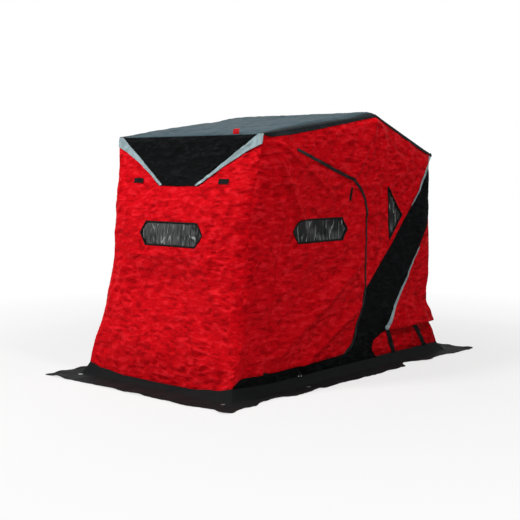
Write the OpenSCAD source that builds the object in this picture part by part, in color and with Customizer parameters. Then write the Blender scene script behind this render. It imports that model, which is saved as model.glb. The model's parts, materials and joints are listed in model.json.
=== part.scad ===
// Portable ice fishing hut: a fabric shell on a folding tube frame that stands in a sled.
// Millimetres. X runs across the hut, the front wall faces -Y, and Z is up from the ice.
// Outlines of the side panels are written as [distance behind the front wall's foot, height].

/* [Hut] */
// Outside width of the fabric shell
hut_w = 1320; // [1200:10:1500]
// Length from the front wall's foot to the sled cover's foot
hut_l = 2300; // [2200:10:2500]
// Height of the fabric's lower edge, where the snow skirt starts
foot_z = 60; // [40:5:80]
// Height of the roof's front edge
front_h = 1595; // [1500:5:1640]
// How far the front wall leans back over its height
front_lean = 290; // [240:10:340]
// Height of the ridge
ridge_h = 1750; // [1700:10:1850]
// Distance from the ridge back to the rear wall
ridge_back = 725; // [690:5:760]
// Height of the roof's rear edge
rear_h = 1485; // [1440:5:1540]
// Height of the rear wall's loose lower edge
flap_z = 245; // [225:5:255]
// How far the sled cover's foot stands out behind the rear wall
cover_flare = 125; // [80:5:150]

/* [Fabric] */
// Thickness of the insulated fabric
fabric_t = 6; // [4:0.5:8]
// Thickness of the window film
film_t = 1.5; // [1:0.5:2]
// How far a window film is sewn past the edge of its opening
film_lap = 14; // [8:1:20]
// Thickness of reflective tape, patches and straps
trim_t = 2; // [1:0.5:3]

/* [Door] */
// Height of the door's foot
door_foot_z = 120; // [110:5:140]
// Distance of the zip's upper end behind the front wall's foot
door_top_y = 560; // [520:10:600]
// Height from the zip's upper end up to the roof's edge
door_top_drop = 119; // [90:1:150]
// Distance of the fold line's foot behind the front wall's foot
door_foot_y = 275; // [240:5:310]
// Distance from the door's upright rear edge back to the ridge
door_rear_gap = 87; // [70:1:110]
// Height at which the upright rear edge meets the dark band
door_joint_z = 565; // [540:5:600]
// Radius of the door's upper rear corner
door_round_r = 300; // [240:10:330]
// Radius of the door's lower rear corner
door_heel_r = 170; // [120:10:200]
// Open gap around the zip
door_gap = 5; // [5:0.5:8]
// Width of the zip's tape
zip_w = 9; // [6:1:14]

/* [Windows] */
// Height of a long window
window_h = 145; // [110:5:190]
// Length of a long window's pointed ends
window_point = 50; // [30:5:70]
// Height of the front window's middle
front_window_z = 960; // [900:5:1000]
// Plain fabric at each end of the front window
front_window_margin = 380; // [320:5:450]
// Height of the door window's middle
door_window_z = 985; // [940:5:1040]
// Plain fabric between the fold line and the door window
door_window_front = 130; // [110:5:160]
// Plain fabric between the door window and the door's upright edge
door_window_rear = 221; // [180:1:260]
// Height of the kite-shaped window
kite_h = 369; // [300:1:400]
// Width of the kite-shaped window
kite_w = 195; // [160:1:220]
// Distance of the kite-shaped window's peak in front of the rear wall
kite_back = 586; // [560:1:620]
// Height from the kite-shaped window's peak up to the roof's rear edge
kite_drop = 230; // [200:1:260]

/* [Header and trim] */
// Half the length of the header's lower edge
header_half = 155; // [120:5:190]
// Height of the header
header_drop = 325; // [290:5:360]
// Width of the reflective tape at the header's corners
corner_tape_h = 55; // [40:5:70]
// Distance of each dark patch from the shell's side
patch_side = 270; // [230:10:310]
// Height from a dark patch up to the roof's front edge
patch_drop = 293; // [270:1:320]
// Width of a dark patch
patch_w = 88; // [70:1:100]
// Height of a dark patch
patch_h = 32; // [24:1:40]
// Distance of the roof's small tab from the shell's side
tab_side = 242; // [200:2:280]
// Width of the roof's small tab
tab_w = 50; // [40:1:60]
// Height of the roof's small tab
tab_h = 34; // [26:1:40]
// Width of the tape along the dark band
stripe_w = 24; // [16:1:30]
// Width of a sled cover's strap
strap_w = 28; // [22:1:34]

/* [Dark band] */
// How far the band's lower end lies in front of the rear wall
band_foot_back = 575; // [540:5:600]
// How far the band runs down the rear wall's corner
band_wrap_drop = 445; // [420:5:480]
// How far forward the front seam bows
band_bow_y = 275; // [240:5:300]
// How far down the front seam bows
band_bow_z = 425; // [390:5:450]
// How far forward the rear seam bows
band_rear_bow_y = 325; // [290:5:350]
// How far down the rear seam bows
band_rear_bow_z = 480; // [440:5:510]
// How far the sled cover's nose reaches past the band's lower end
nose_l = 170; // [140:5:180]
// Height from the nose's tip up to the rear wall's lower edge
nose_drop = 125; // [100:5:140]

/* [Skirt] */
// How far the skirt reaches out at the sides
skirt_side = 180; // [140:5:220]
// How far the skirt reaches out at the front and the rear
skirt_end = 240; // [200:5:280]
// Thickness of the skirt
skirt_t = 4; // [3:0.5:5]
// Radius of the hole in an anchor eyelet
eyelet_r = 8; // [6:0.5:10]
// Distance of the anchor eyelets from the shell
eyelet_out = 78; // [70:2:90]
// Distance of the side eyelets behind the front wall's foot
eyelet_side_y = 630; // [560:10:700]

/* [Frame] */
// Width of the square frame tube
tube_w = 25; // [20:1:30]
// Outer radius of the bows' corners
bow_r = 60; // [45:5:90]
// Height of the bows' lower bolts
pivot_z = 345; // [330:5:360]
// Distance between the two bows' lower bolts
pivot_gap = 60; // [50:5:80]
// Radius of the bolts
bolt_r = 5; // [4:0.5:6]
// Thickness of the steel brackets
bracket_t = 5; // [3:0.5:6]

/* [Sled] */
// Height of the sled's rim
sled_h = 260; // [230:5:280]
// Length of the sled
sled_l = 780; // [760:5:800]
// Width of the rim's flange
rim_w = 60; // [50:5:80]
// Thickness of the sled's wall
sled_t = 6; // [4:1:8]
// Radius of the sled's corners
sled_r = 70; // [40:5:90]
// Height of the runners under the sled
runner_h = 15; // [8:1:20]

/* [Hidden] */
$fn = 48;

fabric_red = "firebrick";
fabric_black = "#1c1d20";
fabric_slate = "#4a555c";
tape_grey = "#9db4b4";
steel_grey = "#8a8f94";

seat = 0.3;           // clearance between a piece and what it seats on
arc_steps = 10;       // points on each rounded corner
curve_steps = 12;     // points on each curved seam
seam_step = 11;       // point of the band's front seam where the ridge seam ends

half_w = hut_w / 2;
inner_w = half_w - fabric_t;
rear_y = hut_l - cover_flare;
ridge_y = rear_y - ridge_back;

// Corners of the shell's side profile
front_foot = [0, foot_z];
front_top = [front_lean, front_h];
ridge = [ridge_y, ridge_h];
rear_top = [rear_y, rear_h];
rear_foot = [rear_y, flap_z];

// Plane geometry on [y, z] points
function unit(v) = v / norm(v);
function left_of(v) = [-v[1], v[0]];
function lerp(a, b, t) = a + (b - a) * t;
function cross2(a, b) = a[0] * b[1] - a[1] * b[0];
function crossing(p, u, q, v) = p + u * cross2(q - p, v) / cross2(u, v);
function at_z(p, q, z) = lerp(p, q, (z - p[1]) / (q[1] - p[1]));
function at_y(p, q, y) = lerp(p, q, (y - p[0]) / (q[0] - p[0]));
// Point t inside the corner b of the line a, b, c, whose inside lies to its right
function inset(a, b, c, t) =
    let (u = unit(b - a), v = unit(c - b))
    crossing(b - left_of(u) * t, u, b - left_of(v) * t, v);
// Foot or head of the line a, b moved t to its right, at the height of a
function inset_end(a, b, t) =
    let (u = unit(b - a), p = a - left_of(u) * t)
    at_z(p, p + u, a[1]);
// Points on the round of radius r at corner b between a and c
function rounded(a, b, c, r) =
    let (
        u = unit(b - a), v = unit(c - b),
        turn = atan2(cross2(u, v), u * v),
        run = r * tan(abs(turn) / 2),
        side = sign(turn),
        centre = b - u * run + left_of(u) * r * side
    )
    [for (i = [0 : arc_steps])
        let (a = turn * i / arc_steps, n = -left_of(u) * side)
        centre + r * [n[0] * cos(a) - n[1] * sin(a), n[0] * sin(a) + n[1] * cos(a)]];
function bezier(a, b, c) =
    [for (i = [0 : curve_steps]) let (t = i / curve_steps)
        (1 - t) * (1 - t) * a + 2 * t * (1 - t) * b + t * t * c];
function part_of(list, first, last) = [for (i = [first : last]) list[i]];
function backwards(list) = [for (i = [len(list) - 1 : -1 : 0]) list[i]];
// The open line moved d to its right, corner by corner
function moved(line, d) =
    [for (i = [0 : len(line) - 1])
        i == 0 ? line[0] - left_of(unit(line[1] - line[0])) * d
        : i == len(line) - 1 ? line[i] - left_of(unit(line[i] - line[i - 1])) * d
        : inset(line[i - 1], line[i], line[i + 1], d)];

// Inside corners of the shell's side profile
front_foot_in = inset_end(front_foot, front_top, fabric_t);
front_top_in = inset(front_foot, front_top, ridge, fabric_t);
ridge_in = inset(front_top, ridge, rear_top, fabric_t);
rear_top_in = inset(ridge, rear_top, rear_foot, fabric_t);
rear_foot_in = [rear_y - fabric_t, flap_z];

// Doorway: the zip runs from the upper end of the fold line round to its foot
fold_top = at_y(front_top, ridge, door_top_y) - [0, door_top_drop];
fold_foot = [door_foot_y, door_foot_z];
fold_dir = unit(fold_top - fold_foot);
zip_slope = -0.316;
door_rear_y = ridge_y - door_rear_gap;
zip_corner = fold_top + [1, zip_slope] * (door_rear_y - door_top_y);
door_joint = [door_rear_y, door_joint_z];
heel_back = 172;      // how far the door's heel lies in front of its upright edge
heel_rise = 15;       // how far the heel's corner lies above the door's foot
door_heel = [door_rear_y - heel_back, door_foot_z + heel_rise];
zip_upper = concat([fold_top], rounded(fold_top, zip_corner, door_joint, door_round_r),
    [door_joint]);
zip_lower = concat([door_joint], rounded(door_joint, door_heel, fold_foot, door_heel_r),
    [fold_foot]);
zip_line = concat(zip_upper, part_of(zip_lower, 1, len(zip_lower) - 1));
heel_step = len(zip_lower) - 2;     // point where the heel's round ends

// Seams of the side panels
roof_seam = crossing(fold_top, fold_dir, front_top, unit(ridge - front_top));
strip_front = at_z(front_foot, front_top, door_foot_z);
band_front = bezier(rear_top, rear_top - [band_bow_y, band_bow_z], door_joint);
band_wrap = [rear_y, rear_h - band_wrap_drop];
band_foot = [rear_y - band_foot_back, flap_z];
band_rear = bezier(band_wrap, band_wrap - [band_rear_bow_y, band_rear_bow_z], band_foot);
cover_nose = [band_foot - [nose_l * 0.88, nose_drop * 0.48], band_foot - [nose_l, nose_drop],
    [band_foot[0] - nose_l * 0.59, foot_z]];

// Sled cover, tucked in behind the rear flap
cover_w = inner_w - seat;
cover_rear_y = rear_y - fabric_t - seat;
tuck = 45;            // how far the cover runs up behind the flap
cover_foot = [hut_l, foot_z];
cover_line = [[cover_rear_y, flap_z + tuck], [cover_rear_y, flap_z], cover_foot];

// Kite window, from its peak
kite_peak = rear_top - [kite_back, kite_drop];
kite = [kite_peak, kite_peak + [kite_w, -0.545 * kite_h],
    kite_peak + [0.23 * kite_w, -kite_h]];

// Frame
tube_out = inner_w - seat;
tube_in = tube_out - tube_w;
half_tube = tube_w / 2;
ridge_pivot = [ridge_y, pivot_z];
rear_pivot = [ridge_y + pivot_gap, pivot_z];
tube_tail = 20;       // how far a leg runs on below its bolt
bolt_play = 0.05;
bolt_head_r = 9;
bolt_head_t = 6;
plate_in = tube_in - seat - bracket_t;

// Travel of a square tube's middle along unit direction d from p, until a corner meets
// the line through q along u, which has the hut's inside to its right
function travel(p, d, q, u) =
    let (
        n = left_of(u),
        w = left_of(d) * half_tube,
        outer = max(n * w, -n * w) + n * d * half_tube
    )
    (n * (q - p) - outer - seat) / (n * d);
rear_dir = unit(rear_top - [rear_pivot[0] + tube_w, rear_pivot[1]]);
rear_reach = min(
    travel(rear_pivot, rear_dir, ridge_in, unit(rear_top_in - ridge_in)),
    travel(rear_pivot, rear_dir, rear_top_in, unit(rear_foot_in - rear_top_in)));
ridge_reach = min(
    travel(ridge_pivot, [0, 1], ridge_in, unit(ridge_in - front_top_in)),
    travel(ridge_pivot, [0, 1], ridge_in, unit(rear_top_in - ridge_in)));
roof_dir = unit(front_top - ridge);
roof_down = left_of(roof_dir);
roof_start = ridge_in + roof_down * (half_tube + seat)
    + roof_dir * (half_tube + 2 * seat + roof_down[0] * (tube_w + seat)) / abs(roof_dir[0]);
roof_reach = travel(roof_start, roof_dir, front_foot_in, unit(front_top_in - front_foot_in));

// Sled
sled_out = cover_w - fabric_t - seat;
sled_rear_y = cover_rear_y - fabric_t - seat;
sled_front_y = sled_rear_y - sled_l;
rim_t = 8;

// Skirt profile: [share of the reach, height], with a hem that laps under the shell's foot
hem = -(2 * fabric_t + 2 * seat) / skirt_side;
skirt_profile = [
    [hem, foot_z], [0, foot_z], [0.07, foot_z * 0.4], [0.2, skirt_t], [1, skirt_t],
    [1, 0], [0.18, 0], [0.045, foot_z * 0.33], [-0.02, foot_z - skirt_t],
    [hem, foot_z - skirt_t]
];
eyelet_wall = 3;
flange_w = 4;
flange_t = 1.2;
eyelets = concat(
    [for (x = [-1, 1], y = [-1, 1])
        [x * half_w, hut_l / 2 + y * (hut_l / 2 + eyelet_out)]],
    [for (x = [-1, 1]) [x * (half_w + eyelet_out), eyelet_side_y]]);

// Moves a piece from the front wall's foot to the hut's middle
module from_front() {
    translate([0, -hut_l / 2, 0]) children();
}

// Extrudes a [y, z] outline across the hut, from x0 to x1
module across(x0, x1) {
    translate([x0, 0, 0]) rotate([90, 0, 90]) linear_extrude(x1 - x0) children();
}

// Places a piece made for the right side on the side asked for
module on_side(side) {
    mirror([side < 0 ? 1 : 0, 0, 0]) children();
}

// A side panel of the fabric's thickness, from its [y, z] outline
module side_panel(side, outline) {
    from_front() on_side(side) across(inner_w, half_w) polygon(outline);
}

// A panel across the hut between two corners of the profile
module cross_panel(outline) {
    from_front() across(-inner_w, inner_w) polygon(outline);
}

// Stretches an [x, height] outline onto the leaning front wall and extrudes it outwards
module on_front(low, high) {
    lean = atan(front_lean / (front_h - foot_z));
    from_front() translate([0, 0, foot_z]) rotate([90 - lean, 0, 0])
        translate([0, 0, low]) linear_extrude(high - low) children();
}
function front_points(points) =
    [for (p = points) [p[0], (p[1] - foot_z) * norm(front_top - front_foot) / (front_h - foot_z)]];

// Six-sided window outline between its two ends, at a height
function long_window(from, to, z, grow) =
    let (mid = [(from + to) / 2, z], half = (to - from) / 2, h = window_h / 2 + grow,
        l = half + grow * 1.5, k = half - window_point + grow)
    [for (p = [[-l, 0], [-k, h], [k, h], [l, 0], [k, -h], [-k, -h]]) mid + p];
function front_window_outline(grow) =
    let (l = half_w - front_window_margin)
    front_points(long_window(-l, l, front_window_z, grow));
function door_window_outline(grow) =
    long_window(at_z(fold_foot, fold_top, door_window_z)[0] + door_window_front,
        door_rear_y - door_window_rear, door_window_z, grow);

header_side = 20;     // how far the header's upper corners stay clear of the shell's sides
header_foot = front_h - header_drop;
header_outline = [[-header_half, header_foot], [header_half, header_foot],
    [inner_w - header_side, front_h + header_side],
    [header_side - inner_w, front_h + header_side]];
wedge_curve = bezier([inner_w, front_h - corner_tape_h],
    [(inner_w + header_half) * 0.62, front_h - corner_tape_h * 1.75],
    [header_half, header_foot]);

module front_slab() {
    cross_panel([front_foot, front_top, front_top_in, front_foot_in]);
}

module front_wall() {
    color(fabric_red) difference() {
        front_slab();
        on_front(-2 * fabric_t, fabric_t) polygon(front_points(header_outline));
        on_front(-2 * fabric_t, fabric_t) polygon(front_window_outline(0));
    }
}

module front_header() {
    color(fabric_black) intersection() {
        front_slab();
        on_front(-2 * fabric_t, fabric_t) polygon(front_points(header_outline));
    }
}

module front_window() {
    color("#20262a") on_front(-fabric_t - film_t, -fabric_t)
        polygon(front_window_outline(film_lap));
}

module front_patches() {
    patch_x = half_w - patch_side;
    patch_z = front_h - patch_drop;
    color(fabric_black) for (side = [-1, 1])
        on_front(0, trim_t) polygon(front_points([for (p = [[-1, -1], [1, -1], [1, 1], [-1, 1]])
            [side * patch_x + p[0] * patch_w / 2, patch_z + p[1] * patch_h / 2]]));
}

module roof_front() {
    color(fabric_slate) cross_panel([front_top, ridge, ridge_in, front_top_in]);
}

module roof_rear() {
    color(fabric_slate) cross_panel([ridge, rear_top, rear_top_in, ridge_in]);
}

module roof_tab() {
    tab_x = half_w - tab_side;
    tab_back = 8;
    foot = at_y(front_top, ridge, front_lean + tab_back);
    color(fabric_red) from_front() across(tab_x - tab_w / 2, tab_x + tab_w / 2)
        polygon([foot, at_y(front_top, ridge, foot[0] + trim_t + 1),
            [foot[0] + trim_t + 1, foot[1] + tab_h], [foot[0], foot[1] + tab_h]]);
}

module side_front(side) {
    color(fabric_red) side_panel(side, [strip_front, front_top, roof_seam,
        fold_top + left_of(fold_dir) * seat / 2, fold_foot + left_of(fold_dir) * seat / 2]);
}

module side_top(side) {
    color(fabric_red) side_panel(side, concat([roof_seam, ridge, band_front[seam_step]],
        backwards(zip_upper)));
}

module side_rear(side) {
    color(fabric_red) from_front() on_side(side) across(inner_w, half_w) difference() {
        polygon(concat([ridge], part_of(band_front, 0, seam_step)));
        polygon(kite);
    }
}

module kite_windows() {
    mid = (kite[0] + kite[1] + kite[2]) / 3;
    grown = [for (p = kite) p + unit(p - mid) * film_lap * 2];
    color("#20262a") from_front() for (side = [-1, 1]) on_side(side)
        across(inner_w - film_t, inner_w) polygon(grown);
}

module side_band(side) {
    color(fabric_black) side_panel(side, concat(band_front,
        part_of(zip_lower, 1, heel_step), [[zip_lower[heel_step][0], foot_z]],
        backwards(cover_nose), backwards(band_rear)));
}

module foot_strips() {
    color(fabric_black) for (side = [-1, 1]) side_panel(side,
        [front_foot, strip_front, fold_foot, zip_lower[heel_step],
            [zip_lower[heel_step][0], foot_z]]);
}

// Tape that widens from nothing along a seam to wide at its far end
function taper(line, wide) =
    let (n = len(line) - 1)
    concat(line, [for (i = [n : -1 : 1])
        line[i] - left_of(unit(line[i] - line[i - 1])) * wide * i / n]);

module reflective_tape() {
    corner_w = 8;
    upper = backwards(part_of(band_front, 0, 5));
    lower = part_of(band_rear, 3, curve_steps);
    color(tape_grey) for (side = [-1, 1]) on_side(side) {
        from_front() across(half_w, half_w + trim_t) {
            polygon(taper(upper, -stripe_w));
            polygon(taper(lower, stripe_w));
        }
        on_front(0, trim_t) polygon(front_points(concat(
            [[inner_w - header_side - corner_w, front_h - seat], [inner_w, front_h - seat]],
            wedge_curve)));
    }
}

module rear_quarter(side) {
    color(fabric_red) side_panel(side, concat(band_rear, [rear_foot]));
}

module rear_header() {
    wrap_in = [rear_y - fabric_t, band_wrap[1]];
    color(fabric_black) cross_panel([rear_top, band_wrap, wrap_in, rear_top_in]);
}

module rear_wall() {
    wrap_in = [rear_y - fabric_t, band_wrap[1]];
    color(fabric_red) cross_panel([band_wrap, rear_foot, rear_foot_in, wrap_in]);
}

module sled_cover_side(side) {
    color(fabric_red) from_front() on_side(side) across(cover_w - fabric_t, cover_w)
        polygon(concat([[band_foot[0], flap_z + tuck]], cover_line, backwards(cover_nose),
            [band_foot]));
}

module sled_cover_rear() {
    inner = [cover_line[0] - [fabric_t, 0],
        inset(cover_line[0], cover_line[1], cover_line[2], fabric_t),
        inset_end(cover_line[2], cover_line[1], -fabric_t)];
    color(fabric_red) from_front() across(fabric_t - cover_w, cover_w - fabric_t)
        polygon(concat(cover_line, backwards(inner)));
}

module cover_straps() {
    rear_strap_back = 225;
    rake = [90, 155];
    head_y = [band_foot[0] + 5, rear_y - rear_strap_back];
    foot_y = head_y + rake;
    laid = 0.05;
    rear_x = half_w - patch_side;
    slope = unit(cover_line[2] - cover_line[1]);
    out = left_of(slope) * trim_t;
    high = cover_line[1] + slope * 4 + out * laid;
    low = cover_line[2] - slope * 4 + out * laid;
    color(fabric_black) from_front() {
        for (side = [-1, 1], i = [0, 1]) on_side(side)
            across(cover_w + laid, cover_w + laid + trim_t)
            polygon([[head_y[i], flap_z - seat], [head_y[i] + strap_w, flap_z - seat],
                [foot_y[i] + strap_w, foot_z + seat], [foot_y[i], foot_z + seat]]);
        for (side = [-1, 1]) on_side(side) across(rear_x - strap_w / 2, rear_x + strap_w / 2)
            polygon([high, low, low + out, high + out]);
    }
}

// Door outline: the zip line moved inwards by d, closed at a distance behind the fold line
function door_outline(d, behind) =
    let (
        line = moved(zip_line, d),
        n = len(line) - 1,
        shift = -left_of(fold_dir) * behind,
        top = crossing(line[0], unit(line[1] - line[0]), fold_top + shift, fold_dir),
        foot = crossing(line[n], unit(line[n] - line[n - 1]), fold_foot + shift, fold_dir)
    )
    concat([top], part_of(line, 1, n - 1), [foot]);

module door(side) {
    color(fabric_red) from_front() on_side(side) across(inner_w, half_w) difference() {
        polygon(door_outline(door_gap + zip_w, seat / 2));
        polygon(door_window_outline(0));
    }
}

module door_window(side) {
    color("#20262a") from_front() on_side(side)
        across(inner_w - film_t, inner_w)
        polygon(door_window_outline(film_lap));
}

module door_zip(side) {
    proud = 1;
    fold_clear = 4;
    color("#101012") from_front() on_side(side) across(inner_w + proud, half_w + proud)
        polygon(concat(door_outline(door_gap, fold_clear),
            backwards(door_outline(door_gap + zip_w, fold_clear))));
}

module door_pull(side) {
    pull_w = 14;
    pull_l = 88;
    pull_back = 191;
    pull_top = zip_corner - [pull_back, 0];
    lean = 14;
    color(fabric_black) from_front() on_side(side) across(half_w, half_w + trim_t)
        polygon([pull_top, pull_top - [pull_w, 0], pull_top - [pull_w + lean, pull_l],
            pull_top - [lean, pull_l]]);
}

// Corner of the skirt's plan on the sides sx and sy, at a share of its reach
function skirt_corner(sx, sy, share) =
    [sx * (half_w + share * skirt_side), hut_l / 2 + sy * (hut_l / 2 + share * skirt_end)];

// One side of the skirt: its profile, mitred at both corners, with the eyelets' holes
module skirt_strip(from, to) {
    color(fabric_black) from_front() difference() {
        intersection() {
            children();
            linear_extrude(foot_z) polygon([
                skirt_corner(from[0], from[1], hem), skirt_corner(from[0], from[1], 1),
                skirt_corner(to[0], to[1], 1), skirt_corner(to[0], to[1], hem)]);
        }
        for (p = eyelets) translate([p[0], p[1], -1])
            cylinder(r = eyelet_r + eyelet_wall, h = skirt_t + 2);
    }
}

module skirt_end_strip(sy) {
    reach = half_w + skirt_side;
    skirt_strip([-1, sy], [1, sy]) translate([0, sy < 0 ? 0 : hut_l, 0])
        across(-reach, reach) polygon([for (p = skirt_profile) [sy * p[0] * skirt_end, p[1]]]);
}

module skirt_side_strip(sx) {
    skirt_strip([sx, -1], [sx, 1]) translate([sx * half_w, hut_l + skirt_end, 0])
        rotate([90, 0, 0]) linear_extrude(hut_l + 2 * skirt_end)
            polygon([for (p = skirt_profile) [sx * p[0] * skirt_side, p[1]]]);
}

module skirt_eyelets() {
    barrel_h = skirt_t + flange_t;
    color(steel_grey) from_front() for (p = eyelets) translate([p[0], p[1], 0]) difference() {
        union() {
            cylinder(r = eyelet_r + eyelet_wall, h = barrel_h);
            translate([0, 0, skirt_t])
                cylinder(r = eyelet_r + eyelet_wall + flange_w, h = flange_t);
        }
        translate([0, 0, -1]) cylinder(r = eyelet_r, h = barrel_h + 2);
    }
}

// Bow outline: u runs across the hut and v along the legs, with the bolts at v = 0
module bow_outline(reach, tail) {
    corner = [for (i = [0 : arc_steps]) let (a = 90 * i / arc_steps) [cos(a), sin(a)]];
    top = reach + half_tube;
    outer = [for (c = corner) [tube_out - bow_r, top - bow_r] + c * bow_r];
    inner = [for (c = corner) [tube_out - bow_r, top - bow_r] + c * (bow_r - tube_w)];
    mirrored = function(points) [for (p = backwards(points)) [-p[0], p[1]]];
    polygon(concat([[tube_out, -tail]], outer, mirrored(outer), [[-tube_out, -tail],
        [-tube_in, -tail]], backwards(mirrored(inner)), backwards(inner), [[tube_in, -tail]]));
}

// Stands a bow up on its bolts at the [y, z] point, with its legs along dir
module bow(point, dir, reach, tail) {
    from_front() translate([0, point[0], point[1]]) rotate([atan2(dir[1], dir[0]), 0, 0])
        translate([0, 0, -half_tube]) linear_extrude(tube_w) bow_outline(reach, tail);
}

// A row of cross bolts through both sides of the frame
module cross_holes(points) {
    from_front() for (p = points) translate([-half_w, p[0], p[1]]) rotate([0, 90, 0])
        cylinder(r = bolt_r + bolt_play, h = hut_w);
}

knuckle_h = 40;
rail_bolt = roof_start + roof_dir * 40;
knuckle_bolt = ridge_pivot + [0, ridge_reach + half_tube - bow_r - knuckle_h / 2 - seat];

module ridge_bow() {
    color(steel_grey) difference() {
        bow(ridge_pivot, [0, 1], ridge_reach, tube_tail);
        cross_holes([ridge_pivot, knuckle_bolt]);
    }
}

module rear_bow() {
    color(steel_grey) difference() {
        bow(rear_pivot, rear_dir, rear_reach, tube_tail);
        cross_holes([rear_pivot]);
    }
}

module roof_bow() {
    color(steel_grey) difference() {
        bow(roof_start, roof_dir, roof_reach, 0);
        cross_holes([rail_bolt]);
    }
}

// Steel plate against the inner faces of the tubes, from its [y, z] outline
module plate_pair(outline, holes) {
    from_front() for (side = [-1, 1]) on_side(side)
        across(plate_in, plate_in + bracket_t) difference() {
            polygon(outline);
            for (p = holes) translate(p) circle(r = bolt_r + bolt_play);
        }
}

module roof_knuckles() {
    arm = roof_dir * 25;
    up = -roof_down * (half_tube - seat);
    rise = [0, knuckle_h / 2];
    across_leg = [half_tube, 0];
    color(steel_grey) plate_pair([
        rail_bolt + arm + up, roof_start + up, knuckle_bolt - across_leg + rise,
        knuckle_bolt + across_leg + rise, knuckle_bolt + across_leg - rise,
        knuckle_bolt - across_leg - rise, rail_bolt + arm - up
    ], [rail_bolt, knuckle_bolt]);
}

module pivot_brackets() {
    foot_l = 36;
    over = 35;
    low = sled_h;
    high = pivot_z + over;
    color(steel_grey) {
        plate_pair([[ridge_pivot[0] - over, low], [rear_pivot[0] + over, low],
            [rear_pivot[0] + over / 2, high], [ridge_pivot[0] - over / 2, high]],
            [ridge_pivot, rear_pivot]);
        from_front() for (side = [-1, 1]) on_side(side)
            translate([plate_in - foot_l, ridge_pivot[0] - over, low])
            cube([foot_l, pivot_gap + 2 * over, bracket_t]);
    }
}

module frame_bolts() {
    color("#3b3d40") from_front() for (side = [-1, 1],
        p = [ridge_pivot, rear_pivot, rail_bolt, knuckle_bolt])
        on_side(side) translate([plate_in, p[0], p[1]]) rotate([0, 90, 0]) {
            translate([0, 0, -bolt_head_t]) cylinder(r = bolt_head_r, h = bolt_head_t, $fn = 6);
            cylinder(r = bolt_r, h = tube_out - plate_in - seat);
        }
}

// Rectangle with rounded corners between two corners
module rounded_rect(low, high, r) {
    size = high - low;
    translate(low) {
        translate([r, 0]) square([size[0] - 2 * r, size[1]]);
        translate([0, r]) square([size[0], size[1] - 2 * r]);
        for (x = [r, size[0] - r], y = [r, size[1] - r]) translate([x, y]) circle(r = r);
    }
}

module sled_tub() {
    low = [-sled_out, sled_front_y];
    high = [sled_out, sled_rear_y];
    wall = [rim_w, rim_w];
    skin = [sled_t, sled_t];
    runner_w = 60;
    runner_in = 120;
    color("#26282b") from_front() difference() {
        union() {
            translate([0, 0, runner_h]) linear_extrude(sled_h - runner_h)
                rounded_rect(low + wall, high - wall, sled_r);
            translate([0, 0, sled_h - rim_t]) linear_extrude(rim_t)
                rounded_rect(low, high, sled_r);
            for (x = [low[0] + runner_in, -runner_w / 2, high[0] - runner_in - runner_w])
                translate([x, low[1] + rim_w + sled_r, 0])
                    cube([runner_w, high[1] - low[1] - 2 * (rim_w + sled_r), runner_h]);
        }
        translate([0, 0, runner_h + sled_t]) linear_extrude(sled_h)
            rounded_rect(low + wall + skin, high - wall - skin, sled_r - sled_t);
    }
}

front_wall();
front_header();
front_window();
front_patches();
roof_front();
roof_rear();
roof_tab();
side_front(1);  // side_front_right
side_front(-1);  // side_front_left
side_top(1);  // side_top_right
side_top(-1);  // side_top_left
side_rear(1);  // side_rear_right
side_rear(-1);  // side_rear_left
kite_windows();
side_band(1);  // side_band_right
side_band(-1);  // side_band_left
foot_strips();
reflective_tape();
rear_quarter(1);  // rear_quarter_right
rear_quarter(-1);  // rear_quarter_left
rear_header();
rear_wall();
sled_cover_side(1);  // sled_cover_right
sled_cover_side(-1);  // sled_cover_left
sled_cover_rear();
cover_straps();
door(1);  // door_right
door(-1);  // door_left
door_window(1);  // door_window_right
door_window(-1);  // door_window_left
door_zip(1);  // door_zip_right
door_zip(-1);  // door_zip_left
door_pull(1);  // door_pull_right
door_pull(-1);  // door_pull_left
skirt_end_strip(-1);  // skirt_front
skirt_end_strip(1);  // skirt_rear
skirt_side_strip(1);  // skirt_right
skirt_side_strip(-1);  // skirt_left
skirt_eyelets();
ridge_bow();
rear_bow();
roof_bow();
roof_knuckles();
pivot_brackets();
frame_bolts();
sled_tub();
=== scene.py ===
"""Portable ice fishing hut: sews the fabric shell, windows, zips and snow skirt onto the frame."""

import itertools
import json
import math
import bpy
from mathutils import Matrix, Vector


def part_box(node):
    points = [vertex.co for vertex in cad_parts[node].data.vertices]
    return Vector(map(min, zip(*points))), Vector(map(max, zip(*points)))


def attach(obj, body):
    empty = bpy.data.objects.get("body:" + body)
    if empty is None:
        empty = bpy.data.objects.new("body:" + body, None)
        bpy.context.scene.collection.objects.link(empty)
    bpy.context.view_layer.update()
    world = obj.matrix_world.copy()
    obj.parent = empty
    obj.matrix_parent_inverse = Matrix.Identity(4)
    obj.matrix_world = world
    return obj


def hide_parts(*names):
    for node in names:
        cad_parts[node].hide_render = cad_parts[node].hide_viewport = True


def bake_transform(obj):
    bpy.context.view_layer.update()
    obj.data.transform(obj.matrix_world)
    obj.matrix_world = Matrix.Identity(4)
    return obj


bl_info = {
    "name": "Ice fishing hut",
    "version": (1, 0, 0),
    "blender": (4, 5, 0),
    "location": "View3D > Sidebar > Hut",
    "description": "Sews the fabric shell, windows, zips and snow skirt of a portable hut",
    "category": "Object",
}

import bmesh
import bpy
import numpy as np
from mathutils import Vector, kdtree
from mathutils.geometry import delaunay_2d_cdt

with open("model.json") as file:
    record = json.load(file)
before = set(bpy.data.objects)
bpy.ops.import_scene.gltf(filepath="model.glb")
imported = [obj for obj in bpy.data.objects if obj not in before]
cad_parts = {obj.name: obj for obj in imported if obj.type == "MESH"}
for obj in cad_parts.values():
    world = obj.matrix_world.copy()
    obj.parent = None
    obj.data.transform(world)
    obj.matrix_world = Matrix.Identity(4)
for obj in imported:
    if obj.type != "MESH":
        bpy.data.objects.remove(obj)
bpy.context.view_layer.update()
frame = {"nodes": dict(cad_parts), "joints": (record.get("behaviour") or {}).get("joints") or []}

MM = 0.001

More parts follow.
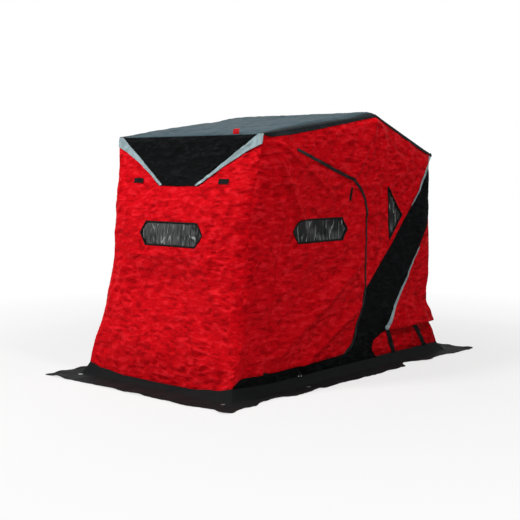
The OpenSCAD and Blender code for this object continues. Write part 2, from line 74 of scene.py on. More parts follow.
# The shell's corners as [distance behind the front wall's foot, height], read from the frame
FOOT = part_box("front_wall")[0]
HALF_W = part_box("side_top_right")[1].x
PANEL_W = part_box("front_wall")[1].x
FRONT_TOP = np.array([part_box("roof_front")[0].y - FOOT.y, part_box("front_header")[1].z])
RIDGE = np.array([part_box("roof_front")[1].y - FOOT.y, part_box("roof_front")[1].z])
REAR_TOP = np.array([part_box("roof_rear")[1].y - FOOT.y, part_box("rear_header")[1].z])
REAR_FOOT = np.array([REAR_TOP[0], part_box("rear_wall")[0].z])
FRONT_FOOT = np.array([0.0, FOOT.z])
COVER_FOOT = np.array([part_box("sled_cover_rear")[1].y - FOOT.y, FOOT.z])
BOW_FOOT = np.array([RIDGE[0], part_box("pivot_brackets")[1].z])
FABRIC = HALF_W - PANEL_W

FRONT_LINE = (FRONT_TOP - FRONT_FOOT) / np.linalg.norm(FRONT_TOP - FRONT_FOOT)
FRONT_OUT = Vector((0, -FRONT_LINE[1], FRONT_LINE[0]))
ROOF_LINE = (RIDGE - FRONT_TOP) / np.linalg.norm(RIDGE - FRONT_TOP)
ROOF_FRONT_OUT = Vector((0, -ROOF_LINE[1], ROOF_LINE[0]))
BACK_LINE = (REAR_TOP - RIDGE) / np.linalg.norm(REAR_TOP - RIDGE)
ROOF_REAR_OUT = Vector((0, -BACK_LINE[1], BACK_LINE[0]))
REAR_OUT = Vector((0, 1, 0))
COVER_OUT = max((face for face in frame["nodes"]["sled_cover_rear"].data.polygons
                 if face.normal.y > 0.1), key=lambda face: face.area).normal.copy()

# Fold line of the doors, from the joint
FOLD = next(j for j in frame["joints"] if j["name"] == "door_right_fold")


class HutFabric(bpy.types.PropertyGroup):
    """Sizes of the sewn fabric"""
    cloth_step: bpy.props.FloatProperty(
        name="Cloth step", description="Distance between the points of a fabric panel",
        default=9.5 * MM, min=6 * MM, max=40 * MM, subtype="DISTANCE")
    crinkle: bpy.props.FloatProperty(
        name="Crinkle", description="Height of the small wrinkles in the quilted fabric",
        default=6.8 * MM, min=0, max=9 * MM, subtype="DISTANCE")
    seam_depth: bpy.props.FloatProperty(
        name="Seam depth", description="How far a seam draws the fabric in",
        default=2.2 * MM, min=0, max=5 * MM, subtype="DISTANCE")
    fold_scale: bpy.props.FloatProperty(
        name="Folds", description="Height of the tension folds against their listed heights",
        default=1.3, min=0, max=3, subtype="FACTOR")
    corner_round: bpy.props.FloatProperty(
        name="Corner rounding", description="Radius at which fabric turns round the front corners",
        default=88 * MM, min=10 * MM, max=150 * MM, subtype="DISTANCE")


class HutColours(bpy.types.PropertyGroup):
    """Colours of the hut's materials, as sRGB hex"""
    red: bpy.props.StringProperty(
        name="Shell", description="Red of the quilted shell", default="cc0814")
    # Painted shade: the red put deep in the creases of the shell's wrinkles
    red_deep: bpy.props.StringProperty(
        name="Shell creases", description="Red deep in the creases", default="a8040d")
    # Painted highlight: the red put on the crests of the shell's wrinkles
    red_crest_highlight: bpy.props.StringProperty(
        name="Shell crests", description="Red on the crests of the wrinkles", default="e01a25")
    black: bpy.props.StringProperty(
        name="Dark fabric", description="Black of the header and band", default="0b0c0d")
    slate: bpy.props.StringProperty(
        name="Roof", description="Slate of the roof", default="36474d")
    tape: bpy.props.StringProperty(
        name="Reflective tape", description="Grey of the reflective tape", default="849ba0")
    film: bpy.props.StringProperty(
        name="Window film", description="Tint of the window film", default="060908")
    skirt: bpy.props.StringProperty(
        name="Skirt", description="Black of the snow skirt", default="0a0b0c")


def fabric():
    """The sizes of the sewn fabric, as set in the scene"""
    return bpy.context.scene.hut_fabric


def colours():
    """The colours, as set in the scene"""
    return bpy.context.scene.hut_colours


# Smooth steps, lines through points, and noise, all on arrays

def ease(t):
    """0 below 0, 1 above 1, and smooth between"""
    t = np.clip(t, 0, 1)
    return t * t * (3 - 2 * t)


def through(points, at):
    """Smooth value at each place, on a line through the (place, value) points"""
    places, values = np.array(points, float).T
    i = np.clip(np.searchsorted(places, at) - 1, 0, len(places) - 2)
    t = ease((at - places[i]) / (places[i + 1] - places[i]))
    return values[i] + (values[i + 1] - values[i]) * t


# Odd factors that spread whole numbers evenly, and the skew from a square net to one of triangles
SPREAD = (73856093, 19349663, 83492791, 7919)
SPREAD_LAST = 1274126177
SKEW = (math.sqrt(3) - 1) / 2


def scattered(*keys):
    """A whole number below 2 to the 32nd for each set of whole keys, with no pattern to it"""
    h = 0
    for key, factor in zip(keys, SPREAD):
        h = h ^ key * factor
    return (h ^ (h >> 13)) * SPREAD_LAST & 0xFFFFFFFF


def noise(p, size, seed=0):
    """Smooth noise from about -1 to 1 at the points p, with bumps of that size"""
    q = p / size + 31.7 * seed
    cell = np.floor(q).astype(np.int64)
    f = q - cell
    s = f * f * f * (f * (f * 6 - 15) + 10)
    total = np.zeros(len(p))
    for corner in itertools.product((0, 1), repeat=3):
        h = scattered(*(cell + corner).T, seed)
        gradient = np.stack([(h >> k & 1023) / 511.5 - 1 for k in (2, 12, 22)], 1)
        share = np.prod(np.where(np.array(corner) == 1, s, 1 - s), 1)
        total += share * np.sum(gradient * (f - corner), 1)
    return total * 1.5


def ridges(p, size, seed=0):
    """Noise with narrow crests and broad valleys, as in crumpled cloth"""
    return 1 - 2.6 * np.sqrt(noise(p, size, seed) ** 2 + 0.03)


def facets(q, size, seed):
    """Crumpled cloth: flat facets of about that size that meet in creases, from -1 to 1"""
    spot = np.stack([q[:, 0], q[:, 1], 0 * q[:, 0]], 1)
    sway = np.stack([noise(spot, 2.3 * size, seed), noise(spot, 2.3 * size, seed + 500)], 1)
    s = q / size + 0.5 * sway
    s = s + SKEW * s.sum(1, keepdims=True)
    cell = np.floor(s).astype(np.int64)
    f = s - cell

    def height(corner):
        return (scattered(*(cell + corner).T, seed) >> 8 & 4095) / 2047.5 - 1

    low, high = f.min(1), f.max(1)
    turn = height(np.where(f[:, :1] > f[:, 1:], (1, 0), (0, 1)))
    return height((0, 0)) * (1 - high) + turn * (high - low) + height((1, 1)) * low


# Patterns: the flat outline of a panel, cut into a net of triangles

# Rows of points that follow a seam, and where the even net begins, in steps from the seam
SEAM_ROWS = (0.35, 0.8)
NET_START = 1.35


class Pattern:
    """A flat panel: its points in its own plane, its triangles, and for each point its distance
    from the nearest seam and how far along that seam it is"""

    def __init__(self, out, step, nodes=(), rings=(), level=0.0, spread=0.0, boxed=True):
        self.out = Vector(out).normalized()
        across = Vector((0, 0, 1)).cross(self.out)
        self.along = across.normalized() if across.length > 0.1 else Vector((1, 0, 0))
        self.up = self.out.cross(self.along)
        self.level, self.rings = (outline(nodes, self) if nodes
                                  else (level, [np.array(ring) for ring in rings]))
        if spread:
            low, high = self.reach()
            slack = 0 if boxed else spread
            self.rings = [np.clip(inset(spaced(ring, step), -spread), low - slack, high + slack)
                          for ring in self.rings]
        self.area = abs(sum(ring_area(ring) for ring in self.rings))
        seam, run = self.seams(step / 3)
        self.flat, self.faces = self.net(step, seam)
        nearest = [seam.find((*p, 0)) for p in self.flat]
        self.edge = np.array([n[2] for n in nearest])
        self.run = np.array([run[n[1]] for n in nearest])

    def reach(self):
        """Lowest and highest corner of the box round the rings"""
        return (np.min([ring.min(0) for ring in self.rings], 0),
                np.max([ring.max(0) for ring in self.rings], 0))

    def seams(self, step):
        """A search tree of points along the rings, and how far along its seam each one is"""
        lines = [spaced(ring, step) for ring in self.rings]
        seam, run = kdtree.KDTree(sum(map(len, lines))), []
        for line in lines:
            start = run[-1] if run else 0
            lengths = np.linalg.norm(np.diff(line, axis=0, append=line[:1]), axis=1)
            for point, length in zip(line, np.cumsum(lengths) + start):
                seam.insert((*point, 0), len(run))
                run.append(length)
        seam.balance()
        return seam, run

    def net(self, step, seam):
        """Points and triangles of the panel: rows along its rings, and an even net inside them"""
        lines = [spaced(ring, step) for ring in self.rings]

        def distance(point):
            return seam.find((*point, 0))[2]

        rows = [p for gap in SEAM_ROWS for line in lines for p in inset(line, gap * step)
                if distance(p) > 0.85 * gap * step]
        even = hex_net(*self.reach(), step)
        even = [p for p in even[self.holds(even)] if distance(p) > NET_START * step]
        points = [Vector(p) for line in lines for p in line] + [Vector(p) for p in rows + even]
        edges, first = [], 0
        for line in lines:
            n = len(line)
            edges += [(first + i, first + (i + 1) % n) for i in range(n)]
            first += n
        found, _, faces = delaunay_2d_cdt(points, edges, [], 0, 1e-7)[:3]
        flat, faces = np.array([tuple(p) for p in found]), np.array(faces)
        a, b, c = (flat[faces[:, i]] for i in range(3))
        turn = (b - a)[:, 0] * (c - a)[:, 1] - (b - a)[:, 1] * (c - a)[:, 0]
        faces[turn < 0] = faces[turn < 0][:, ::-1]
        return flat, faces[self.holds((a + b + c) / 3) & (np.abs(turn) > 1e-10)]

    def holds(self, points):
        """Whether each point lies inside the panel, by the count of ring sides to its right"""
        odd = np.zeros(len(points), bool)
        for ring in self.rings:
            for a, b in zip(ring, np.roll(ring, -1, 0)):
                spans = (a[1] > points[:, 1]) != (b[1] > points[:, 1])
                rise = b[1] - a[1] if abs(b[1] - a[1]) > 1e-12 else 1e-12
                odd ^= spans & (points[:, 0] < a[0] + (points[:, 1] - a[1]) * (b[0] - a[0]) / rise)
        return odd

    def place(self, level=None):
        """The panel's points in the hut, on its own plane or on one at another level"""
        level = self.level if level is None else level
        return (self.flat[:, :1] * np.array(self.along) + self.flat[:, 1:] * np.array(self.up)
                + level * np.array(self.out))


def outline(nodes, pattern):
    """Outer level and rings of corner points of the CAD nodes' faces on the pattern's side"""
    corners, sides, level = [], set(), -1e9

    def corner(co):
        flat = np.array([co.dot(pattern.along), co.dot(pattern.up)])
        for i, known in enumerate(corners):
            if np.abs(known - flat).max() < 0.4 * MM:
                return i
        corners.append(flat)
        return len(corners) - 1

    for node in nodes:
        bm = bmesh.new()
        bm.from_mesh(frame["nodes"][node].data)
        bmesh.ops.remove_doubles(bm, verts=bm.verts, dist=0.01 * MM)
        bm.normal_update()
        facing = [f for f in bm.faces if f.normal.dot(pattern.out) > 0.999]
        top = max(f.calc_center_median().dot(pattern.out) for f in facing)
        level = max(level, top)
        facing = [f for f in facing
                  if f.calc_center_median().dot(pattern.out) > top - 0.5 * MM]
        outer = set(facing)     # to look up in; only the list has the same order each run
        for face in facing:
            for loop in face.loops:
                if not any(f in outer and f is not face for f in loop.edge.link_faces):
                    a, b = corner(loop.vert.co), corner(loop.link_loop_next.vert.co)
                    if (b, a) in sides:
                        sides.remove((b, a))
                    elif a != b:
                        sides.add((a, b))
        bm.free()
    after = dict(sides)
    if len(after) != len(sides):
        raise RuntimeError(f"the outline of {nodes} touches itself")
    rings = []
    while after:
        start = min(after)
        ring, at = [start], after.pop(start)
        while at != start:
            ring.append(at)
            at = after.pop(at)
        rings.append(np.array([corners[i] for i in ring]))
    return level, rings


def ring_area(ring):
    """Area inside a ring, above 0 where it runs anticlockwise, as an outer edge does"""
    nxt = np.roll(ring, -1, 0)
    return float(np.sum(ring[:, 0] * nxt[:, 1] - ring[:, 1] * nxt[:, 0]) / 2)


def spaced(ring, step):
    """The ring with points added, so that none is further than step from the next"""
    points = []
    for a, b in zip(ring, np.roll(ring, -1, 0)):
        n = max(1, math.ceil(np.linalg.norm(b - a) / step))
        points += [a + (b - a) * i / n for i in range(n)]
    return np.array(points)


def inset(line, gap):
    """The points of a ring moved inwards, to its left"""
    ahead = np.roll(line, -1, 0) - np.roll(line, 1, 0)
    left = np.stack([-ahead[:, 1], ahead[:, 0]], 1)
    return list(line + left / np.linalg.norm(left, axis=1, keepdims=True) * gap)


def hex_net(low, high, step):
    """Points in rows set half a step apart, over a rectangle"""
    rise = step * math.sqrt(3) / 2
    rows = []
    for k, v in enumerate(np.arange(low[1], high[1], rise)):
        u = np.arange(low[0] + (k % 2) * step / 2, high[0], step)
        rows.append(np.stack([u, np.full(len(u), v)], 1))
    return np.concatenate(rows)


# Shape of the pitched hut: how far each point of a flat panel moves

# Where each front corner stands at a height, in metres: (height, inwards) and (height, back)
CORNER_IN = [(0.06, -0.004), (0.2, -0.004), (0.45, 0.018), (0.79, 0.03), (1.0, 0.028),
             (1.2, 0.02), (1.4, 0.006), (1.56, 0)]
CORNER_BACK = [(0.06, 0), (0.2, 0.004), (0.45, 0.02), (0.79, 0.03), (1.0, 0.008), (1.2, -0.01),
               (1.4, -0.004), (1.56, 0)]
# Where the rear wall stands at a height: (height, forwards)
REAR_IN = [(0.24, -0.034), (0.31, -0.014), (0.4, 0.026), (0.49, 0.026), (0.6, 0.002), (0.8, 0),
           (1.04, 0.014), (1.25, 0.022), (1.41, 0.026), (1.48, 0)]
# How far the front wall's foot hangs below its corners: (distance from the middle, rise)
FOOT_RISE = [(0, -0.028), (0.3, -0.026), (0.52, -0.006), (0.66, 0.02)]

# Forms of the fabric, at places that are (distance behind the front wall's foot, height) on a
# side, and (distance to the right, height) on the front and the rear, all in metres:
# hills as (place, height in mm, half width, half height), hollows with a height below 0
# folds as (start, end, height in mm, reach to the left of that line, reach to its right)
# fans as (place, reach, rays, height in mm, seed, way it faces, spread), the last two in degrees
SIDE_HILLS = [
    ((1.00, 1.00), -12, 0.30, 0.16), ((0.98, 0.68), -28, 0.32, 0.11),
    ((0.45, 0.75), 8, 0.18, 0.25), ((1.75, 1.25), -8, 0.20, 0.25)]
SIDE_FOLDS = [
    ((1.44, 1.74), (1.14, 1.27), 22, 0.035, 0.12), ((1.40, 1.71), (0.92, 1.46), 5, 0.05, 0.05),
    ((1.36, 1.70), (0.70, 1.56), 4, 0.04, 0.04), ((0.31, 1.56), (0.74, 0.92), 28, 0.06, 0.03),
    ((0.30, 1.54), (0.50, 0.95), 16, 0.05, 0.03), ((0.33, 1.57), (0.98, 1.20), 19, 0.06, 0.03),
    ((0.34, 1.58), (0.95, 1.06), 4, 0.05, 0.05), ((0.34, 0.20), (1.35, 0.76), 34, 0.06, 0.07),
    ((0.62, 0.12), (1.34, 0.47), 22, 0.05, 0.05), ((0.20, 0.50), (0.80, 0.76), 12, 0.05, 0.06),
    ((0.03, 0.09), (0.24, 0.30), -12, 0.03, 0.03), ((0.40, 1.48), (0.50, 1.22), -6, 0.025, 0.025),
    ((1.10, 0.98), (1.34, 0.92), 6, 0.03, 0.03), ((1.56, 1.60), (1.95, 1.22), 9, 0.04, 0.04),
    ((1.12, 0.93), (0.80, 0.50), 5, 0.05, 0.05), ((1.45, 1.74), (1.45, 0.85), 5, 0.03, 0.03),
    ((1.47, 1.72), (1.66, 1.05), 5, 0.04, 0.04), ((2.15, 1.46), (1.55, 1.30), 4, 0.05, 0.05)]
SIDE_FANS = [
    ((1.45, 1.76), 0.55, 13, 7.7, 3, -110, 48), ((0.28, 1.60), 0.62, 14, 7.0, 5, -62, 50),
    ((0.40, 1.55), 0.35, 9, 4.2, 6, -30, 60), ((0.20, 0.08), 0.45, 10, 5.6, 7, 45, 55),
    ((1.36, 0.57), 0.40, 11, 4.9, 8, 165, 60), ((1.14, 0.985), 0.22, 9, 4.2, 9, 0, 80),
    ((0.58, 0.985), 0.22, 9, 4.2, 10, 180, 80), ((2.17, 1.46), 0.40, 9, 4.2, 11, -135, 50)]
FRONT_HILLS = [
    ((0, 1.03), 34, 0.85, 0.27), ((0, 0.25), 10, 0.42, 0.14), ((-0.05, 0.64), -24, 0.32, 0.10)]
FRONT_FOLDS = [
    ((-0.43, 0.815), (0.31, 0.825), 10, 0.06, 0.022), ((0.50, 0.79), (0.635, 0.67), 20, 0.05, 0.04),
    ((0.63, 0.69), (0.60, 0.33), 12, 0.05, 0.06), ((-0.45, 0.77), (-0.60, 0.38), 13, 0.06, 0.05),
    ((0.31, 0.83), (0.52, 0.785), 9, 0.04, 0.03), ((0.30, 0.80), (0.56, 0.42), 14, 0.06, 0.04),
    ((0.26, 0.42), (0.42, 0.10), 15, 0.06, 0.04), ((0.0, 0.36), (-0.46, 0.16), 4, 0.05, 0.05),
    ((-0.14, 1.25), (-0.26, 0.98), 4, 0.04, 0.04), ((0.14, 1.25), (0.22, 0.98), 4, 0.04, 0.04),
    ((0.0, 1.26), (0.0, 1.03), 3, 0.04, 0.04), ((0.40, 1.52), (0.30, 1.58), 4, 0.05, 0.03)]
FRONT_FANS = [
    ((0.34, 0.83), 0.34, 11, 7.0, 21, 20, 120), ((-0.47, 0.82), 0.30, 11, 6.3, 22, 190, 110),
    ((-0.33, 0.96), 0.22, 9, 4.2, 23, 180, 80), ((0.26, 0.96), 0.24, 9, 4.2, 24, 0, 80),
    ((0.02, 0.40), 0.36, 12, 6.3, 25, -90, 80), ((-0.15, 1.27), 0.30, 9, 3.5, 26, -100, 60),
    ((0.15, 1.27), 0.30, 9, 3.5, 27, -80, 60), ((0.64, 1.59), 0.50, 10, 4.2, 28, -125, 50),
    ((-0.64, 1.59), 0.50, 10, 4.2, 29, -55, 50)]
REAR_HILLS = [((0, 0.75), -14, 0.40, 0.35), ((0.1, 0.36), 8, 0.30, 0.10)]
REAR_FOLDS = [row for s in (-1, 1) for row in (
    ((s * 0.64, 1.46), (s * 0.14, 0.85), 6, 0.06, 0.06),
    ((s * 0.62, 0.28), (s * 0.22, 0.62), 7, 0.07, 0.07))]
REAR_FANS = [row for s in (-1, 1) for row in (
    ((s * 0.66, 1.48), 0.55, 11, 7.0, 41 + s, -90 - s * 45, 50),
    ((s * 0.66, 0.26), 0.45, 10, 6.3, 44 + s, 90 + s * 50, 50))]
# Share of its listed reach over which a fold falls off
FOLD_REACH = 0.68


def fold(q, a, b, height, left, right):
    """A tension fold's height at the points q: a crest from a to b that falls off to its left
    and its right, and dies out at both ends"""
    a, b = np.array(a), np.array(b)
    d = (b - a) / np.linalg.norm(b - a)
    t = (q - a) @ d / np.linalg.norm(b - a)
    off = (q - a) @ np.array([-d[1], d[0]])
    wide = FOLD_REACH * np.where(off > 0, left, right)
    crest = np.exp(0.25 - np.sqrt((off / wide) ** 2 + 0.0625))
    return height * MM * crest * ease(t / 0.12 + 0.4) * ease((1 - t) / 0.3 + 0.2)


def fan(q, origin, reach, rays, height, seed, facing, spread):
    """Rays of small folds that run out from a point where the fabric is drawn tight"""
    v = q - np.array(origin)
    r = np.linalg.norm(v, axis=1) + 1e-6
    angle = np.arctan2(v[:, 1], v[:, 0])
    turn = np.angle(np.exp(1j * (angle - math.radians(facing))))
    ray = np.stack([np.cos(angle) * rays / 3, np.sin(angle) * rays / 3, r / reach * 1.5], 1)
    aside = ease(1.4 - np.abs(turn) / math.radians(spread))
    rise = r / (r + reach * 0.15) * np.exp(-(r / reach) ** 2)
    return height * MM * rise * aside * (1 - 3 * np.sqrt(noise(ray, 1.0, seed) ** 2 + 0.04))


def hill(q, at, height, wide, tall):
    """A soft bulge of the fabric"""
    d = (q - np.array(at)) / np.array([wide, tall])
    return height * MM * np.exp(-np.sum(d * d, 1))


def forms(q, hills, folds, fans):
    """Height of all the listed hills, folds and fans together, at the points q"""
    return (sum(hill(q, *row) for row in hills) + sum(fold(q, *row) for row in folds)
            + sum(fan(q, *row) for row in fans))


def below_roof(y, z):
    """Distance of side points below the roof's edge"""
    roof = np.interp(y, [FRONT_TOP[0], RIDGE[0], REAR_TOP[0]],
                     [FRONT_TOP[1], RIDGE[1], REAR_TOP[1]])
    return roof - z


def behind_front(y, z):
    """Distance of side points behind the front wall's plane"""
    return -(y * FRONT_OUT.y + (z - FOOT.z) * FRONT_OUT.z)


def line_distance(q, a, b):
    """Distance of the points q from the stretch of line between a and b"""
    d = (b - a) / np.linalg.norm(b - a)
    t = np.clip((q - a) @ d, 0, np.linalg.norm(b - a))
    return np.linalg.norm(q - a - t[:, None] * d, axis=1)


def side_relief(q):
    """Folds of a side wall, outwards, at its (distance behind the front foot, height) points"""
    y, z = q.T
    down = below_roof(y, z)
    below = np.clip(down / 0.18, 0, 9)
    total = 0.022 * below * np.exp(1 - below) + forms(q, SIDE_HILLS, SIDE_FOLDS, SIDE_FANS)
    shell = np.stack([y, z, 0 * y], 1)
    total += 4 * MM * noise(shell, 0.26, 12) + 2.5 * MM * ridges(shell, 0.13, 13)
    # The bows hold the fabric out, and the roof's edge, both corners and the foot hold it in place
    held = np.minimum(line_distance(q, BOW_FOOT, RIDGE), line_distance(q, BOW_FOOT, REAR_TOP))
    total = np.where(total < 0, total * ease(held / 0.14), total)
    keep = (ease(down / 0.05) * ease(behind_front(y, z) / 0.18)
            * ease((REAR_TOP[0] - y) / 0.07) * ease((z - FOOT.z) / 0.1))
    return total * keep * fabric().fold_scale


def front_relief(q):
    """Folds of the front wall, outwards, at its (distance to the right, height) points"""
    x, z = q.T
    shell = np.stack([x, 0 * x, z], 1)
    total = (forms(q, FRONT_HILLS, FRONT_FOLDS, FRONT_FANS)
             + 4 * MM * noise(shell, 0.24, 31) + 2.2 * MM * ridges(shell, 0.12, 32))
    keep = (ease((HALF_W - np.abs(x)) / 0.1) * ease((FRONT_TOP[1] - z) / 0.06)
            * ease((z - FOOT.z) / 0.12))
    return total * keep * fabric().fold_scale


def rear_relief(q):
    """Folds of the rear wall, outwards, at its (distance to the right, height) points"""
    x, z = q.T
    shell = np.stack([x, z, 0 * x], 1)
    total = (forms(q, REAR_HILLS, REAR_FOLDS, REAR_FANS)
             + 5 * MM * noise(shell, 0.26, 47) + 2.5 * MM * ridges(shell, 0.13, 48))
    keep = ease((HALF_W - np.abs(x)) / 0.1) * ease((REAR_TOP[1] - z) / 0.06)
    return total * keep * fabric().fold_scale


# How far the roof's fabric stands up between two bows, and over the ridge
ROOF_SWELL = 0.02
RIDGE_CROWN = 0.023


def roof_relief(q, length, out):
    """Swell and folds of a roof panel between two bows, at its (distance to the right, distance
    behind its front bow) points"""
    x, v = q.T
    t = np.clip(v / length, 0, 1)
    across = np.clip(1 - (np.abs(x) / 0.6) ** 2, 0, 1)
    total = ROOF_SWELL * ease((HALF_W - np.abs(x)) / 0.09) * np.sin(np.pi * t) ** 0.6
    bed = np.stack([x, v * 0.22, 0 * x + out], 1)
    total += (3.2 * MM * ridges(bed, 0.1, 51) + 2.5 * MM * noise(bed, 0.19, 52)) * across ** 0.5
    total += forms(q, (), (), [
        ((s * 0.63, at), 0.5, 10, 4.9, seed + s, way * (90 + s * 30), 50)
        for s in (-1, 1) for at, seed, way in ((0.01, 53, 1), (length - 0.01, 56, -1))])
    keep = ease(t / 0.06) * ease((1 - t) / 0.06) * ease((HALF_W - np.abs(x)) / 0.05)
    return total * keep


def round_edge(d, turn, radius):
    """(slide, drop) of a point at distance d from an edge, where the fabric turns by that angle
    in a round of about that radius that tightens towards the edge: away from the edge in the
    panel, and in from its plane"""
    reach = radius * math.tan(turn / 2)
    shares = np.linspace(0, 1, 65)
    angle = turn / 2 * shares ** 1.7
    run, fall = (np.concatenate([[0], np.cumsum((part[1:] + part[:-1]) / 2)]) / 64
                 for part in (np.cos(angle), np.sin(angle)))
    length = reach / (run[-1] + fall[-1] * math.tan(turn / 2))
    share = np.clip(1 - d / np.maximum(reach, 1e-6), 0, 1)
    slide = np.where(share > 0, reach - length * np.interp(share, shares, run) - d, 0)
    return slide, length * np.interp(share, shares, fall)


def corner_radius(size, *away):
    """A round's radius, which shrinks where it runs into another edge"""
    for d in away:
        size = size * (0.12 + 0.88 * ease(d / 0.12))
    return size


def front_radius(down, z):
    """The front corners turn softly at mid-height and tightly at the roof and the foot"""
    return corner_radius(fabric().corner_round, down / 2.2) * (0.2 + 0.8 * ease((z - 0.08) / 0.4))


# Angles at which the fabric turns at the hut's edges, and the radii of its rounds there
RIGHT_ANGLE = math.pi / 2
REAR_TOP_TURN = 0.77 * RIGHT_ANGLE
EAVE_ROUND = 0.012
REAR_ROUND = 0.03
BOW_ROUND = 0.016
# The shell's rear quarters and rear wall hang loose over the sled: they stand out below this
# height, and end in a turned-up hem
FLARE_TOP = 0.44
FLARE_HEIGHT = 0.19
FLARE = 0.032
HEM = 4 * MM


def side_shift(p):
    """How the side walls' points move from their flat place to the pitched hut's"""
    side = np.sign(p[:, 0])
    y, z = p[:, 1] - FOOT.y, p[:, 2]
    q = np.stack([y, z], 1)
    front = np.clip(behind_front(y, z), 0, 9)
    down = np.clip(below_roof(y, z), 0, 9)
    rear = np.clip(REAR_TOP[0] - y, 0, 9)
    move = np.zeros_like(p)
    held = ease(line_distance(q, BOW_FOOT, RIDGE) / 0.3)
    move[:, 0] -= through(CORNER_IN, z) * np.exp(-(front / 0.7) ** 2) * held
    move[:, 1] += through(CORNER_BACK, z) * np.exp(-(front / 0.22) ** 2)
    move[:, 1] -= through(REAR_IN, z) * np.exp(-(rear / 0.2) ** 2) * ease((0.31 - rear) / 0.1)
    move[:, 0] += side_relief(q)
    loose = ease((FLARE_TOP - z) / FLARE_HEIGHT) * ease((y - 1.55) / 0.12)
    move[:, 0] += loose * (FLARE + 0.012 * noise(np.stack([y, 0 * y, 0 * y], 1), 0.11, 61))
    move[:, 0] += HEM * ease((y - 1.58) / 0.03) * hem(z)
    for out, d, turn, size in (
            (FRONT_OUT, front, RIGHT_ANGLE, front_radius(down, z)),
            (None, down, RIGHT_ANGLE, corner_radius(EAVE_ROUND, front, rear)),
            (REAR_OUT, rear, RIGHT_ANGLE, corner_radius(REAR_ROUND, down))):
        slide, drop = round_edge(d, turn, size)
        move[:, 0] -= drop
        if out is None:
            move[:, 2] -= slide
        else:
            move -= slide[:, None] * np.array(out)
    move[:, 2] += foot_rise(p)
    strip = ease((z - FOOT.z) / 0.057) * ease((0.26 - z) / 0.14) * np.exp(-(front / 0.05) ** 2)
    move[:, 1:] -= 0.04 * strip[:, None] * FRONT_LINE
    move[:, 0] *= side
    return move


def hem(z):
    """1 in the turned-up hem along the foot of the loose flaps, and 0 above it"""
    return ease((REAR_FOOT[1] + 0.026 - z) / 0.007)


def foot_rise(p):
    """How far the shell's foot rises or hangs at the front wall, and round its corners"""
    front = np.clip(behind_front(p[:, 1] - FOOT.y, p[:, 2]), 0, 9)
    rise = through(FOOT_RISE, np.clip(np.abs(p[:, 0]), 0, 0.659))
    return rise * np.exp(-(front / 0.2) ** 2) * ease((0.3 - p[:, 2]) / 0.24)


def front_shift(p):
    """How the front wall's points move from their flat place to the pitched hut's"""
    side = np.sign(p[:, 0])
    wide = np.abs(p[:, 0])
    z = p[:, 2]
    edge = np.clip(HALF_W - wide, 0, 9)
    top = np.clip((FRONT_TOP[1] - z) / FRONT_LINE[1], 0, 9)
    move = front_relief(np.stack([p[:, 0], z], 1))[:, None] * np.array(FRONT_OUT)
    move[:, 0] -= side * through(CORNER_IN, z) * ease((wide - 0.2) / (HALF_W - 0.2))
    move[:, 1] += through(CORNER_BACK, z) * ease((wide - 0.34) / (HALF_W - 0.34))
    slide, drop = round_edge(edge, RIGHT_ANGLE, front_radius(top, z))
    move[:, 0] -= side * slide
    move -= drop[:, None] * np.array(FRONT_OUT)
    slide, drop = round_edge(top, RIGHT_ANGLE, corner_radius(BOW_ROUND, edge))
    move -= drop[:, None] * np.array(FRONT_OUT)
    move -= slide[:, None] * np.array([0, *FRONT_LINE])
    move[:, 2] += foot_rise(p)
    return move


def roof_shift(out, start, end, front_turn, rear_turn):
    """The shift of one roof panel, from its start and end in the side profile"""
    length = np.linalg.norm(end - start)
    line = (end - start) / length

    def shift(p):
        side = np.sign(p[:, 0])
        edge = np.clip(HALF_W - np.abs(p[:, 0]), 0, 9)
        v = (p[:, 1:] - np.array([FOOT.y, 0]) - start) @ line
        relief = roof_relief(np.stack([p[:, 0], v], 1), length, out.y)
        move = relief[:, None] * np.array(out)
        ridge = np.abs(p[:, 1] - FOOT.y - RIDGE[0])
        move[:, 2] += RIDGE_CROWN * np.exp(-(ridge / 0.16) ** 2) * ease(edge / 0.07)
        ends = (np.clip(v, 0, 9), np.clip(length - v, 0, 9))
        slide, drop = round_edge(edge, RIGHT_ANGLE, corner_radius(EAVE_ROUND, *ends))
        move[:, 0] -= side * slide
        move -= drop[:, None] * np.array(out)
        for d, turn, sign in ((ends[0], front_turn, 1), (ends[1], rear_turn, -1)):
            slide, drop = round_edge(d, turn, corner_radius(BOW_ROUND, edge))
            move -= drop[:, None] * np.array(out)
            move += sign * slide[:, None] * np.array([0, *line])
        return move
    return shift


def rear_shift(p):
    """How the rear wall's points move from their flat place to the pitched hut's"""
    side = np.sign(p[:, 0])
    edge = np.clip(HALF_W - np.abs(p[:, 0]), 0, 9)
    z = p[:, 2]
    top = np.clip(REAR_TOP[1] - z, 0, 9)
    move = rear_relief(np.stack([p[:, 0], z], 1))[:, None] * np.array(REAR_OUT)
    move[:, 1] -= through(REAR_IN, z)
    move[:, 0] += side * FLARE * ease((FLARE_TOP - z) / FLARE_HEIGHT)
    move[:, 1] += HEM * hem(z)
    slide, drop = round_edge(edge, RIGHT_ANGLE, corner_radius(REAR_ROUND, top))
    move[:, 0] -= side * slide
    move[:, 1] -= drop
    slide, drop = round_edge(top, REAR_TOP_TURN, corner_radius(BOW_ROUND, edge))
    move[:, 1] -= drop
    move[:, 2] -= slide
    return move


# Where the sled cover's straps start, behind the front wall's foot
STRAPS = (1.59, 1.955)


